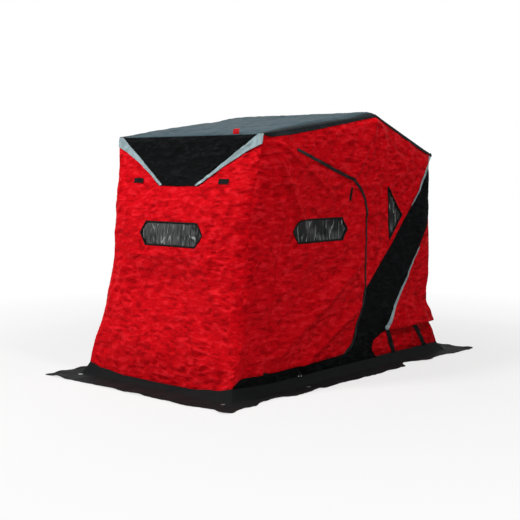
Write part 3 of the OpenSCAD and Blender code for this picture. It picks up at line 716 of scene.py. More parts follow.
def cover_shift(p):
    """The sled cover bulges between its straps and draws in at its foot"""
    z = p[:, 2]
    belly = np.sin(np.pi * np.clip((z - FOOT.z) / (REAR_FOOT[1] - FOOT.z), 0, 1)) ** 0.7
    out = np.where(np.abs(p[:, 0]) > PANEL_W - 2 * FABRIC, 1.0, 0.0)
    away = np.clip(np.abs(p[:, 1:2] - FOOT.y - 0.35 * (REAR_FOOT[1] - p[:, 2:])
                          - np.array(STRAPS)).min(1) / 0.09, 0, 1)
    puff = belly * (0.002 + 0.009 * ease(away)
                    + 0.010 * noise(p * np.array([1, 1, 0.5]), 0.11, 71)
                    + 0.004 * ridges(p * np.array([1, 1, 0.6]), 0.07, 72))
    move = np.zeros_like(p)
    move[:, 0] = out * np.sign(p[:, 0]) * puff
    move[:, 1] = (1 - out) * puff
    return move


RIDGE_TURN = math.acos(ROOF_FRONT_OUT.dot(ROOF_REAR_OUT))
# Outward side of each plane of the shell, and how its points move
SHIFTS = {
    "right": (Vector((1, 0, 0)), side_shift),
    "left": (Vector((-1, 0, 0)), side_shift),
    "front": (FRONT_OUT, front_shift),
    "rear": (REAR_OUT, rear_shift),
    "roof_front": (ROOF_FRONT_OUT, roof_shift(
        ROOF_FRONT_OUT, FRONT_TOP, RIDGE, RIGHT_ANGLE, RIDGE_TURN)),
    "roof_rear": (ROOF_REAR_OUT, roof_shift(
        ROOF_REAR_OUT, RIDGE, REAR_TOP, RIDGE_TURN, REAR_TOP_TURN)),
    "cover_right": (Vector((1, 0, 0)), cover_shift),
    "cover_left": (Vector((-1, 0, 0)), cover_shift),
    "cover_rear": (COVER_OUT, cover_shift),
}
# Outer level of each plane of the shell along its normal
LEVELS = {
    "right": HALF_W, "left": HALF_W, "rear": REAR_TOP[0] + FOOT.y,
    "front": FOOT.y * FRONT_OUT.y + FOOT.z * FRONT_OUT.z,
    "roof_front": (RIDGE[0] + FOOT.y) * ROOF_FRONT_OUT.y + RIDGE[1] * ROOF_FRONT_OUT.z,
    "roof_rear": (RIDGE[0] + FOOT.y) * ROOF_REAR_OUT.y + RIDGE[1] * ROOF_REAR_OUT.z,
    "cover_right": None, "cover_left": None, "cover_rear": None,
}


def crinkle(p, q):
    """Height of the small wrinkles of quilted cloth, from about -1 to 1, at points p in the hut
    and q in the panel"""
    lie = np.array([1.0, 1.0, 2.2])      # wrinkles that run level
    stand = np.array([1.8, 1.8, 0.9])    # wrinkles that run up and down
    share = ease(0.5 + 1.4 * noise(p, 0.34, 81))
    level = ridges(p * lie, 0.10, 82) + 0.6 * ridges(p * lie, 0.06, 83)
    steep = ridges(p * stand, 0.10, 84) + 0.6 * ridges(p * stand, 0.06, 85)
    soft = (level * share + steep * (1 - share)) / 1.5
    flat = facets(q * (1, 1.7), 0.1, 86) * share + facets(q * (1.5, 0.9), 0.1, 87) * (1 - share)
    return 0.3 * soft + 1.0 * flat + 0.45 * facets(q, 0.05, 88)


# Making pieces

def mesh_piece(name, points, faces, flat=None, **attributes):
    """A mesh object from arrays, with its flat pattern as the UV map, in metres"""
    mesh = bpy.data.meshes.new(name)
    mesh.from_pydata(np.asarray(points).tolist(), [], np.asarray(faces).tolist())
    if flat is not None:
        corners = np.empty(len(mesh.loops), np.int32)
        mesh.loops.foreach_get("vertex_index", corners)
        layer = mesh.uv_layers.new(name="cut")
        layer.data.foreach_set("uv", np.asarray(flat)[corners].astype(np.float32).ravel())
    for key, values in attributes.items():
        made = mesh.attributes.new(key, "FLOAT", "POINT")
        made.data.foreach_set("value", np.asarray(values, np.float32))
    obj = bpy.data.objects.new(name, mesh)
    bpy.context.scene.collection.objects.link(obj)
    return obj


def select(obj):
    """Leaves this object alone selected and active"""
    bpy.ops.object.select_all(action="DESELECT")
    bpy.context.view_layer.objects.active = obj
    obj.select_set(True)


def thicken(obj, thick, offset=-1.0):
    """Gives a sheet its thickness and smooths it, all but its cut edges"""
    select(obj)
    wall = obj.modifiers.new("Thickness", "SOLIDIFY")
    wall.thickness, wall.offset = thick, offset
    bpy.ops.object.modifier_apply(modifier=wall.name)
    bpy.ops.object.shade_smooth_by_angle(angle=math.radians(48))


def paint(obj, finish):
    """Gives a piece that material and no other"""
    obj.data.materials.clear()
    obj.data.materials.append(material(finish))


def dress(obj, body, finish, slot, *replaced):
    """Gives a piece its material and its body, and hides the nodes that it stands for"""
    paint(obj, finish)
    if body:
        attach(obj, body)
    if replaced:
        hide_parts(*replaced)


def cut(name, pattern, points, thick, offset=-1.0):
    """A panel of cloth as a mesh, with its points where they lie in the hut"""
    obj = mesh_piece(name, points, pattern.faces, pattern.flat,
                     seam=pattern.edge, run=pattern.run)
    thicken(obj, thick, offset)
    return obj


# Distance between the small puckers along a seam
PUCKER = 0.031


def sewn(pattern, plane, proud=0.0, wrinkle=1.0, seam=None, laid=False):
    """Where a pattern's points lie on the pitched hut: drawn in at its seams, or else laid on
    the crests of the fabric beneath it"""
    out, shift = SHIFTS[plane]
    level = LEVELS[plane]
    rest = pattern.place(level)
    base = rest.copy()
    if plane in ("front", "rear", "roof_front", "roof_rear"):
        base[:, 0] *= HALF_W / PANEL_W
    over = (pattern.level - level if level is not None else 0) + proud
    seam = fabric().seam_depth if seam is None else seam
    crumpled = fabric().crinkle * crinkle(rest, pattern.flat)
    if laid:
        lift = np.maximum(crumpled, 0)
        if plane == "front":
            lift = lift * ease((FRONT_TOP[1] - rest[:, 2]) / 0.03)
    else:
        lift = wrinkle * crumpled * ease(pattern.edge / 0.03)
        pucker = np.sin(2 * np.pi * (pattern.run / PUCKER + 0.35 * noise(rest, 0.09, 91)))
        lift += seam * 0.45 * pucker * np.exp(-pattern.edge / 0.03) * ease(pattern.edge / 0.008)
        lift -= seam * np.exp(-(pattern.edge / 0.006) ** 1.5)
    return base + shift(base) + (lift + over)[:, None] * np.array(out)


# The door flap's foot hangs over its zip in this stretch: height, and distance behind the front
LAP_TOP = 0.3
LAP_REAR = 1.16


def lapped(pattern, plane, lap):
    """How the foot of a door flap hangs over its zip by that lap, or, where the lap is below 0,
    how the zip draws in behind it"""
    y, z = pattern.place().T[1:]
    behind = y - FOLD["pos_m"][1] - (z - FOLD["pos_m"][2]) * FOLD["axis"][1] / FOLD["axis"][2]
    low = ease((LAP_TOP - z) / 0.1) * ease((FOOT.y + LAP_REAR - y) / 0.1)
    if lap > 0:
        low *= ease((0.04 - pattern.edge) / 0.04) * ease((behind - 0.012) / 0.05)
    else:
        low *= ease((behind + 0.03) / 0.02)
    way = np.array([0, 0, -max(lap, 0)]) + min(lap, 4 * MM) * np.array(SHIFTS[plane][0])
    return low[:, None] * way


def sew(name, nodes, plane, finish, slot, body="shelter", thick=FABRIC, wrinkle=1.0, seam=None,
        step=None, proud=0.0, blend=None, spread=0.0,
        lap=0.0, laid=False):
    """Cuts a panel from its CAD nodes, sews it into the shell and gives it its thickness"""
    pattern = Pattern(SHIFTS[plane][0], step or fabric().cloth_step, nodes, spread=spread)
    points = sewn(pattern, plane, proud, wrinkle, seam, laid)
    if lap:
        points += lapped(pattern, plane, lap)
    obj = cut(name, pattern, points, thick)
    dress(obj, body, finish, slot, *nodes)
    if blend:
        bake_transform(obj)
    return pattern


# Materials

def linear(hex_colour):
    """An sRGB hex colour as linear red, green, blue and alpha"""
    parts = [int(hex_colour[i:i + 2], 16) / 255 for i in (0, 2, 4)]
    return (*[c / 12.92 if c <= 0.04045 else ((c + 0.055) / 1.055) ** 2.4 for c in parts], 1.0)


def add(tree, kind, inputs=None, steps=(), **settings):
    """Adds a node with its settings, its colour steps as (place, hex), and its inputs: each is a
    value, or the socket or the node whose first output it is linked to"""
    made = tree.nodes.new(kind)
    for key, value in settings.items():
        setattr(made, key, value)
    for socket, value in (inputs or {}).items():
        if isinstance(value, bpy.types.Node):
            value = value.outputs[0]
        if isinstance(value, bpy.types.NodeSocket):
            tree.links.new(value, made.inputs[socket])
        else:
            made.inputs[socket].default_value = value
    if steps:
        stops = made.color_ramp.elements
        stops.remove(stops[1])
        stops[0].position, stops[0].color = steps[0][0], linear(steps[0][1])
        for place, colour in steps[1:]:
            stops.new(place).color = linear(colour)
    return made


# A wave texture has a band every 2 pi / 20 of its coordinate, so this over a spacing in mm is
# the scale that draws it
BANDS = 1000 * 2 * math.pi / 20


def ridge_field(tree, at, along_mm, across_mm, turn, detail=2.0):
    """Long narrow crests, along_mm by across_mm, turned in the cloth's own plane"""
    laid = add(tree, "ShaderNodeMapping", {
        "Vector": at, "Rotation": (0, 0, math.radians(turn)),
        "Scale": (1000 / along_mm, 1000 / across_mm, 1)})
    field = add(tree, "ShaderNodeTexNoise", {
        "Vector": laid, "Scale": 1.0, "Detail": detail, "Roughness": 0.55, "Distortion": 0.35})
    off = add(tree, "ShaderNodeMath", {0: field, 1: 0.5}, operation="SUBTRACT")
    off = add(tree, "ShaderNodeMath", {0: off}, operation="ABSOLUTE")
    return add(tree, "ShaderNodeMapRange", {
        "Value": off, "From Min": 0.0, "From Max": 0.2, "To Min": 1.0, "To Max": 0.0})


def soft_field(tree, at, along_mm, across_mm, turn):
    """Short round-backed wrinkles, along_mm by across_mm, turned in the cloth's own plane"""
    laid = add(tree, "ShaderNodeMapping", {
        "Vector": at, "Rotation": (0, 0, math.radians(turn)),
        "Scale": (1000 / along_mm, 1000 / across_mm, 1)})
    field = add(tree, "ShaderNodeTexNoise", {
        "Vector": laid, "Scale": 1.0, "Detail": 1.0, "Roughness": 0.5, "Distortion": 0.5})
    return add(tree, "ShaderNodeMapRange", {
        "Value": field, "From Min": 0.3, "From Max": 0.7}, interpolation_type="SMOOTHSTEP")


def stitching(tree, normal):
    """A row of 4 mm stitches with 1 mm between them, 6 mm from the seam and sunk into the
    fabric: the normal with it, and how much of it is thread"""
    seam = add(tree, "ShaderNodeAttribute", attribute_name="seam").outputs["Fac"]
    run = add(tree, "ShaderNodeAttribute", attribute_name="run").outputs["Fac"]
    off = add(tree, "ShaderNodeMath", {0: seam, 1: 6 * MM}, operation="SUBTRACT")
    off = add(tree, "ShaderNodeMath", {0: off}, operation="ABSOLUTE")
    row = add(tree, "ShaderNodeMapRange", {
        "Value": off, "From Min": 0.5 * MM, "From Max": 1.6 * MM, "To Min": 1.0, "To Max": 0.0})
    step = add(tree, "ShaderNodeMath", {0: run, 1: 5 * MM}, operation="DIVIDE")
    step = add(tree, "ShaderNodeMath", {0: step}, operation="FRACT")
    on = add(tree, "ShaderNodeMath", {0: step, 1: 0.78}, operation="LESS_THAN")
    thread = add(tree, "ShaderNodeMath", {0: row, 1: on}, operation="MULTIPLY")
    sunk = add(tree, "ShaderNodeBump", {
        "Height": row, "Distance": -0.25 * MM, "Strength": 1.0, "Normal": normal})
    return sunk, thread


def quilted_polyester(tree, deep, plain, crest_highlight, rough, gloss, crumple_mm):
    """Insulated shell fabric: a coated oxford weave quilted to thin wadding. The stitching
    draws it into soft wrinkles 20 to 35 mm across, which give it its crushed look. Its colour
    follows them with painted light: a painted highlight on each crest and painted shade in each
    hollow."""
    sheet = add(tree, "ShaderNodeUVMap", uv_map="cut")
    patch = add(tree, "ShaderNodeTexNoise", {"Vector": sheet, "Scale": 1000 / 170, "Detail": 1.0})
    where = add(tree, "ShaderNodeMapRange", {
        "Value": patch, "From Min": 0.42, "From Max": 0.58})
    level = soft_field(tree, sheet, 110, 30, 6)
    steep = soft_field(tree, sheet, 84, 34, 62)
    small = soft_field(tree, sheet, 44, 21, -28)
    wrinkles = add(tree, "ShaderNodeMix", {0: where, 2: level, 3: steep}, data_type="FLOAT")
    wrinkles = add(tree, "ShaderNodeMix", {0: 0.3, 2: wrinkles, 3: small}, data_type="FLOAT")
    loose = add(tree, "ShaderNodeTexNoise", {"Vector": sheet, "Scale": 1000 / 240, "Detail": 1.0})
    loose = add(tree, "ShaderNodeMapRange", {
        "Value": loose, "From Min": 0.4, "From Max": 0.62, "To Min": 0.4, "To Max": 1.0})
    height = add(tree, "ShaderNodeMath", {0: wrinkles, 1: loose}, operation="MULTIPLY")
    # Threads 0.6 mm apart are too fine to show, so the weave is drawn at 4.74 mm
    warp, weft = (add(tree, "ShaderNodeTexWave", {"Vector": sheet, "Scale": BANDS / 4.74},
                      bands_direction=axis).outputs["Fac"] for axis in ("X", "Y"))
    weave = add(tree, "ShaderNodeMix", {0: 0.5, 2: warp, 3: weft}, data_type="FLOAT")
    crushed = add(tree, "ShaderNodeBump", {
        "Height": height, "Distance": crumple_mm * MM, "Strength": 1.0})
    normal, thread = stitching(tree, crushed)
    # Painted light and shade: the colour runs from painted shade in the wrinkles' hollows to a
    # painted highlight on their crests, with a faint weave mixed in
    tone = add(tree, "ShaderNodeMix", {0: 0.14, 2: wrinkles, 3: weave}, data_type="FLOAT")
    colour = add(tree, "ShaderNodeValToRGB", {"Fac": tone}, steps=(
        (0.2, deep), (0.42, plain), (0.6, plain), (0.8, crest_highlight)))
    # The stitches take the same deep red as the painted crease shade
    colour = add(tree, "ShaderNodeMix", {
        0: thread, 6: colour, 7: linear(deep)}, data_type="RGBA").outputs[2]
    return add(tree, "ShaderNodeBsdfPrincipled", {
        "Base Color": colour, "Roughness": rough, "Normal": normal, "Specular IOR Level": gloss})


def roof_polyester(tree, deep, plain, crest_highlight):
    """Roof fabric: tightly woven polyester with a waterproof coating, which lends it a soft
    sheen and long shallow streaks where it was folded for the sled. Part of that sheen is
    painted: the streaks' crests are painted paler, a painted highlight, and the ground between
    them darker, painted shade."""
    sheet = add(tree, "ShaderNodeUVMap", uv_map="cut")
    streaks = ridge_field(tree, sheet, 60, 700, 4)
    small = ridge_field(tree, sheet, 26, 90, 12, 3.0)
    folds = add(tree, "ShaderNodeMix", {0: 0.4, 2: streaks, 3: small}, data_type="FLOAT")
    creased = add(tree, "ShaderNodeBump", {"Height": folds, "Distance": 1.2 * MM, "Strength": 1.0})
    normal, _ = stitching(tree, creased)
    # Painted light: paler on the streaks' crests as a painted highlight, darker between them as
    # painted shade
    colour = add(tree, "ShaderNodeValToRGB", {"Fac": folds}, steps=(
        (0.1, deep), (0.6, plain), (1.0, crest_highlight)))
    return add(tree, "ShaderNodeBsdfPrincipled", {
        "Base Color": colour, "Roughness": 0.75, "Normal": normal, "Specular IOR Level": 0.1})


def creased_film(tree):
    """Clear-view film: tinted soft PVC, calendered glossy. Cold and folding leave it creased,
    and the crests of its creases are painted pale grey as painted reflections: sharp bright
    streaks on a near-black ground."""
    sheet = add(tree, "ShaderNodeUVMap", uv_map="cut")
    creases = ridge_field(tree, sheet, 60, 330, 7, 1.0)
    fine = ridge_field(tree, sheet, 34, 160, -14, 1.0)
    both = add(tree, "ShaderNodeMix", {0: 0.45, 2: creases, 3: fine}, data_type="FLOAT")
    # Painted reflection: the creases' crests are painted pale grey, as bright streaks
    colour = add(tree, "ShaderNodeValToRGB", {"Fac": both}, steps=(
        (0.70, colours().film), (0.84, "1d2120"), (0.97, "8f9592")))
    normal = add(tree, "ShaderNodeBump", {"Height": both, "Distance": 4 * MM, "Strength": 1.0})
    return add(tree, "ShaderNodeBsdfPrincipled", {
        "Base Color": colour, "Roughness": 0.22, "IOR": 1.53, "Normal": normal,
        "Specular IOR Level": 0.25})


def plain_webbing(tree, colour):
    """Polypropylene webbing and tape: ribs across its width, dull, and a little paler on the
    ribs, a painted highlight.
    Ribs 1 mm apart are too fine to show, so they are drawn at 4.93 mm, and the fibres' grain,
    0.1 mm on the real one, at 2.5 mm."""
    place = add(tree, "ShaderNodeTexCoord").outputs["Object"]
    ribs = add(tree, "ShaderNodeTexWave", {
        "Vector": place, "Scale": BANDS / 4.93, "Distortion": 0.6},
        bands_direction="Z").outputs["Fac"]
    grain = add(tree, "ShaderNodeTexNoise", {"Vector": place, "Scale": 1000 / 2.5})
    height = add(tree, "ShaderNodeMix", {0: 0.3, 2: ribs, 3: grain}, data_type="FLOAT")
    # Painted highlight: the ribs are painted paler than the webbing's own colour
    shade = add(tree, "ShaderNodeValToRGB", {"Fac": height}, steps=(
        (0.2, colour), (0.9, lighter(colour, 1.5))))
    normal = add(tree, "ShaderNodeBump", {"Height": height, "Distance": 0.3 * MM, "Strength": 1.0})
    return add(tree, "ShaderNodeBsdfPrincipled", {
        "Base Color": shade, "Roughness": 0.6, "Normal": normal, "Specular IOR Level": 0.08})


def lighter(colour, by):
    """A hex colour with each part multiplied"""
    return "".join(f"{min(255, round(int(colour[i:i + 2], 16) * by)):02x}" for i in (0, 2, 4))


def beaded_tape(tree):
    """Reflective tape: glass beads in a pale binder. By daylight it is a dull grey-green with a
    faint grain and a few rubbed places. Beads 0.1 mm across are too fine to show, so they are
    drawn at 2.38 mm; the rubbed places are 38 mm across."""
    place = add(tree, "ShaderNodeTexCoord").outputs["Object"]
    beads = add(tree, "ShaderNodeTexVoronoi", {"Vector": place, "Scale": 1000 / 2.38})
    wear = add(tree, "ShaderNodeTexNoise", {"Vector": place, "Scale": 1000 / 38.46, "Detail": 4.0})
    colour = add(tree, "ShaderNodeValToRGB", {"Fac": wear}, steps=(
        (0.3, lighter(colours().tape, 0.82)), (0.55, colours().tape),
        (0.75, lighter(colours().tape, 1.12))))
    normal = add(tree, "ShaderNodeBump", {"Height": beads, "Distance": 0.15 * MM, "Strength": 1.0})
    return add(tree, "ShaderNodeBsdfPrincipled", {
        "Base Color": colour, "Roughness": 0.38, "Specular IOR Level": 0.7, "Normal": normal})


def skirt_tarpaulin(tree):
    """Skirt fabric: PVC-coated polyester scrim, black, limp and a little greasy in its shine,
    with creases 29 mm across and dried slush marks of about 143 mm. The scrim's threads, 1 mm
    apart, are too fine to show, so they are drawn at 7.9 mm."""
    place = add(tree, "ShaderNodeTexCoord").outputs["Object"]
    creases = add(tree, "ShaderNodeTexNoise", {
        "Vector": place, "Scale": 1000 / 29.41, "Detail": 4.0, "Roughness": 0.6,
        "Distortion": 0.6})
    marks = add(tree, "ShaderNodeTexNoise", {
        "Vector": place, "Scale": 1000 / 142.9, "Detail": 6.0, "Roughness": 0.65})
    colour = add(tree, "ShaderNodeValToRGB", {"Fac": marks}, steps=(
        (0.35, colours().skirt), (0.62, "101112"), (0.8, "1a1c1d")))
    warp, weft = (add(tree, "ShaderNodeTexWave", {"Vector": place, "Scale": BANDS / 7.9},
                      bands_direction=axis).outputs["Fac"] for axis in ("X", "Y"))
    weave = add(tree, "ShaderNodeMix", {0: 0.5, 2: warp, 3: weft}, data_type="FLOAT")
    faint = add(tree, "ShaderNodeMath", {0: weave, 1: 0.25}, operation="MULTIPLY")
    colour = add(tree, "ShaderNodeMix", {
        0: faint, 6: colour, 7: linear("1c1e1f")}, data_type="RGBA").outputs[2]
    limp = add(tree, "ShaderNodeBump", {"Height": creases, "Distance": 2.2 * MM, "Strength": 1.0})
    normal, _ = stitching(tree, limp)
    return add(tree, "ShaderNodeBsdfPrincipled", {
        "Base Color": colour, "Roughness": 0.75, "Normal": normal, "Specular IOR Level": 0.08})


def mill_aluminium(tree):
    """Square aluminium tube, mill finished: a grey metal with fine drawing lines along it, 1.1
    mm apart and 83 mm long, and duller smears of 56 mm where it has been handled."""
    place = add(tree, "ShaderNodeTexCoord").outputs["Object"]
    smear = add(tree, "ShaderNodeTexNoise", {"Vector": place, "Scale": 1000 / 55.56, "Detail": 5.0})
    rough = add(tree, "ShaderNodeMapRange", {
        "Value": smear, "From Min": 0.3, "From Max": 0.7, "To Min": 0.3, "To Max": 0.5})
    drawn = add(tree, "ShaderNodeMapping", {
        "Vector": place, "Scale": (1000 / 1.111, 1000 / 1.111, 1000 / 83.33)})
    lines = add(tree, "ShaderNodeTexNoise", {"Vector": drawn, "Scale": 1.0})
    colour = add(tree, "ShaderNodeValToRGB", {"Fac": smear}, steps=(
        (0.3, "9a9da0"), (0.7, "b4b7ba")))
    normal = add(tree, "ShaderNodeBump", {"Height": lines, "Distance": 0.05 * MM, "Strength": 1.0})
    return add(tree, "ShaderNodeBsdfPrincipled", {
        "Base Color": colour, "Metallic": 1.0, "Roughness": rough, "Normal": normal})


def powder_coat(tree):
    """Steel plates in black powder coat: an even satin film with a slight orange peel, 1.4 mm
    apart, and brighter wear in patches of 25 mm."""
    place = add(tree, "ShaderNodeTexCoord").outputs["Object"]
    peel = add(tree, "ShaderNodeTexNoise", {"Vector": place, "Scale": 1000 / 1.429})
    wear = add(tree, "ShaderNodeTexNoise", {"Vector": place, "Scale": 1000 / 25, "Detail": 6.0})
    colour = add(tree, "ShaderNodeValToRGB", {"Fac": wear}, steps=(
        (0.3, "191a1b"), (0.72, "2a2b2d")))
    normal = add(tree, "ShaderNodeBump", {"Height": peel, "Distance": 0.08 * MM, "Strength": 1.0})
    return add(tree, "ShaderNodeBsdfPrincipled", {
        "Base Color": colour, "Roughness": 0.42, "Normal": normal})


def plated_steel(tree):
    """Zinc-plated steel of eyelets and bolts: a bright metal with cloudy patches 11 mm across."""
    place = add(tree, "ShaderNodeTexCoord").outputs["Object"]
    cloud = add(tree, "ShaderNodeTexNoise", {"Vector": place, "Scale": 1000 / 11.11, "Detail": 3.0})
    rough = add(tree, "ShaderNodeMapRange", {
        "Value": cloud, "From Min": 0.3, "From Max": 0.7, "To Min": 0.22, "To Max": 0.42})
    colour = add(tree, "ShaderNodeValToRGB", {"Fac": cloud}, steps=(
        (0.3, "a6a9ab"), (0.7, "c6c9cb")))
    return add(tree, "ShaderNodeBsdfPrincipled", {
        "Base Color": colour, "Metallic": 1.0, "Roughness": rough})


def moulded_polyethylene(tree):
    """Rotationally moulded black polyethylene of the sled: waxy, faintly pebbled every 3.8 mm,
    scuffed grey along it in marks of 17 by 167 mm."""
    place = add(tree, "ShaderNodeTexCoord").outputs["Object"]
    pebble = add(tree, "ShaderNodeTexVoronoi", {"Vector": place, "Scale": 1000 / 3.846})
    dragged = add(tree, "ShaderNodeMapping", {
        "Vector": place, "Scale": (1000 / 16.67, 1000 / 166.7, 1000 / 16.67)})
    scuff = add(tree, "ShaderNodeTexNoise", {"Vector": dragged, "Scale": 1.0, "Detail": 5.0})
    colour = add(tree, "ShaderNodeValToRGB", {"Fac": scuff}, steps=(
        (0.4, "1b1c1e"), (0.75, "2f3133")))
    normal = add(tree, "ShaderNodeBump", {"Height": pebble, "Distance": 0.2 * MM, "Strength": 1.0})
    return add(tree, "ShaderNodeBsdfPrincipled", {
        "Base Color": colour, "Roughness": 0.48, "Normal": normal})


def zip_coil(tree):
    """Nylon coil zip: matt black tape with slightly shinier teeth. Its grain, 0.2 mm on the real
    one, is too fine to show, so it is drawn at 1.67 mm."""
    place = add(tree, "ShaderNodeTexCoord").outputs["Object"]
    grain = add(tree, "ShaderNodeTexNoise", {"Vector": place, "Scale": 1000 / 1.667})
    colour = add(tree, "ShaderNodeValToRGB", {"Fac": grain}, steps=(
        (0.3, "060607"), (0.7, "101012")))
    normal = add(tree, "ShaderNodeBump", {"Height": grain, "Distance": 0.1 * MM, "Strength": 1.0})
    return add(tree, "ShaderNodeBsdfPrincipled", {
        "Base Color": colour, "Roughness": 0.5, "Normal": normal, "Specular IOR Level": 0.15})


def pale_floor(tree):
    """Studio floor: matt and pale grey, and white to the camera away from the hut, so that it
    keeps the hut's shadow"""
    grain = add(tree, "ShaderNodeTexNoise", {"Scale": 30.0, "Detail": 3.0})
    tone = add(tree, "ShaderNodeValToRGB", {"Fac": grain}, steps=((0.3, "dadada"), (0.7, "dedede")))
    matt = add(tree, "ShaderNodeBsdfPrincipled", {"Base Color": tone, "Roughness": 0.9})
    white = add(tree, "ShaderNodeEmission", {"Strength": 1.0})
    seen = add(tree, "ShaderNodeLightPath").outputs["Is Camera Ray"]
    place = add(tree, "ShaderNodeTexCoord").outputs["Object"]
    away = add(tree, "ShaderNodeVectorMath", {0: place}, operation="LENGTH").outputs["Value"]
    far = add(tree, "ShaderNodeMapRange", {
        "Value": away, "From Min": 1.6, "From Max": 4.5, "To Min": 0.72, "To Max": 1.0})
    share = add(tree, "ShaderNodeMath", {0: seen, 1: far}, operation="MULTIPLY")
    return add(tree, "ShaderNodeMixShader", {0: share, 1: matt, 2: white})


# The shader of each material, made in a tree
FINISHES = {
    "quilted_red": lambda tree: quilted_polyester(
        tree, colours().red_deep, colours().red, colours().red_crest_highlight, rough=0.5, gloss=0.02,
        crumple_mm=6.5),
    # Painted light on the dark fabric too: 080909 is painted shade in the creases, 141617 a painted
    # highlight on the crests
    "quilted_black": lambda tree: quilted_polyester(
        tree, "080909", colours().black, "141617", rough=0.75, gloss=0.03, crumple_mm=8.0),
    # The roof fabrics' three colours are painted shade between the streaks, their own colour, and a
    # painted highlight on the streaks' crests
    "roof_slate": lambda tree: roof_polyester(tree, "29373c", colours().slate, "3c4e55"),
    "roof_binding": lambda tree: roof_polyester(tree, "0a0d0f", "0f1416", "161c1f"),
    "creased_film": creased_film,
    "black_webbing": lambda tree: plain_webbing(tree, "070808"),
    "red_webbing": lambda tree: plain_webbing(tree, "8f0810"),
    "beaded_tape": beaded_tape,
    "skirt_tarpaulin": skirt_tarpaulin,
    "mill_aluminium": mill_aluminium,
    "powder_coat": powder_coat,
    "plated_steel": plated_steel,
    "moulded_polyethylene": moulded_polyethylene,
    "zip_coil": zip_coil,
    "pale_floor": pale_floor,
}


def material(name):
    """The named material, made when it is first asked for"""
    made = bpy.data.materials.get(name)
    if made is None:
        made = bpy.data.materials.new(name)
        made.use_nodes = True
        made.node_tree.nodes.clear()
        add(made.node_tree, "ShaderNodeOutputMaterial", {
            "Surface": FINISHES[name](made.node_tree)})
    return made


# The hut's pieces

SIDES = (("right", 1), ("left", -1))


# Width and height of the folded tape round a window, and how far it sits back in the wall
BINDING_WIDE, BINDING_TALL, BINDING_BACK = 12 * MM, 10 * MM, 2.2 * MM
# Points round the section of that binding
BINDING_SIDES = 10


def ring_points(pattern, index, plane, proud=0.0):
    """A ring of the pattern as it lies on the pitched hut, closely spaced"""
    line = spaced(pattern.rings[index], 7 * MM)
    out, shift = SHIFTS[plane]
    base = (line[:, :1] * np.array(pattern.along) + line[:, 1:] * np.array(pattern.up)
            + LEVELS[plane] * np.array(out))
    return base + shift(base) + proud * np.array(out)


def bind_edge(name, points, out, wide, tall):
    """Folded tape sewn round a cut edge: an oval section carried round the ring of points"""
    ahead = np.roll(points, -1, 0) - np.roll(points, 1, 0)
    ahead /= np.linalg.norm(ahead, axis=1, keepdims=True)
    side = np.cross(ahead, np.array(out))
    side /= np.linalg.norm(side, axis=1, keepdims=True)
    n, k = len(points), BINDING_SIDES
    turns = np.linspace(0, 2 * np.pi, k, endpoint=False)
    rings = [points + side * math.cos(a) * wide / 2 + np.array(out) * math.sin(a) * tall / 2
             for a in turns]
    verts = np.stack(rings, 1).reshape(-1, 3)
    faces = [(i * k + j, i * k + (j + 1) % k, (i + 1) % n * k + (j + 1) % k, (i + 1) % n * k + j)
             for i in range(n) for j in range(k)]
    obj = mesh_piece(name, verts, faces)
    bm = bmesh.new()
    bm.from_mesh(obj.data)
    bmesh.ops.recalc_face_normals(bm, faces=bm.faces)
    bm.to_mesh(obj.data)
    bm.free()
    obj.data.shade_smooth()
    return obj


def make_window(name, node, plane, wall, body):
    """A window: creased film behind its opening in the wall, and folded tape round that"""
    out = SHIFTS[plane][0]
    film = Pattern(out, 7 * MM, [node])
    spot = np.stack([film.flat[:, 0], film.flat[:, 1] * 0.12, 0 * film.flat[:, 0]], 1)
    pleats = MM * (2.2 * ridges(spot, 0.036, 95) + 1.2 * ridges(spot, 0.024, 96))
    points = sewn(film, plane, wrinkle=0.0, seam=0.0)
    points += (pleats * ease((film.edge - 12 * MM) / 0.02))[:, None] * np.array(out)
    obj = cut(name + "_film", film, points, 0.9 * MM)
    dress(obj, body, "creased_film", "window_film", node)
    ring = ring_points(wall, hole_of(wall), plane, proud=-BINDING_BACK)
    edge = bind_edge(name + "_binding", ring, out, BINDING_WIDE, BINDING_TALL)
    dress(edge, body, "black_webbing", "dark_fabric")


def hole_of(pattern):
    """Index of the pattern's smallest ring, which is its window opening"""
    return min(range(len(pattern.rings)), key=lambda i: abs(ring_area(pattern.rings[i])))


class HUT_OT_front(bpy.types.Operator):
    """Sew the front wall with its header, window, corner tape and patches"""
    bl_idname = "hut.front"
    bl_label = "Front wall"

    def execute(self, context):
        wall = sew("front_wall_cloth", ["front_wall"], "front", "quilted_red", "shell_fabric")
        sew("front_header_cloth", ["front_header"], "front", "quilted_black", "dark_fabric",
            spread=16 * MM, proud=1 * MM, laid=True)
        make_window("front_window", "front_window", "front", wall, "shelter")
        sew("corner_tape", ["reflective_tape"], "front", "beaded_tape", "reflective_tape",
            thick=1.2 * MM, step=8 * MM,
            spread=8 * MM, proud=3 * MM, laid=True)
        sew("front_patch_tape", ["front_patches"], "front", "black_webbing", "dark_fabric",
            thick=1.6 * MM, step=6 * MM, laid=True)
        return {"FINISHED"}


class HUT_OT_roof(bpy.types.Operator):
    """Stretch the roof over its bows, with the binding along its side edges and its tab"""
    bl_idname = "hut.roof"
    bl_label = "Roof"

    def execute(self, context):
        for node in ("roof_front", "roof_rear"):
            sew(node + "_cloth", [node], node, "roof_slate", "roof_fabric", wrinkle=0.5)
        for name, side in SIDES:
            roof_binding(name, side)
        roof_tab()
        return {"FINISHED"}


# How far the roof's fabric laps down the side walls: (distance behind the front foot, drop)
ROOF_LAP = [(0.285, 0.012), (0.36, 0.028), (0.53, 0.033), (0.73, 0.031), (1.04, 0.024),
            (1.40, 0.015), (1.45, 0.016), (1.69, 0.024), (1.91, 0.028), (2.05, 0.026),
            (2.175, 0.016)]
# Where the binding's rows of points lie: shares of that drop, then distances in over the roof
LAP_ROWS = (1.0, 0.75, 0.5, 0.28, 0.14)
INBOARD_ROWS = (0.004, 0.012, 0.024, 0.036)
BINDING_PROUD = 2.6 * MM


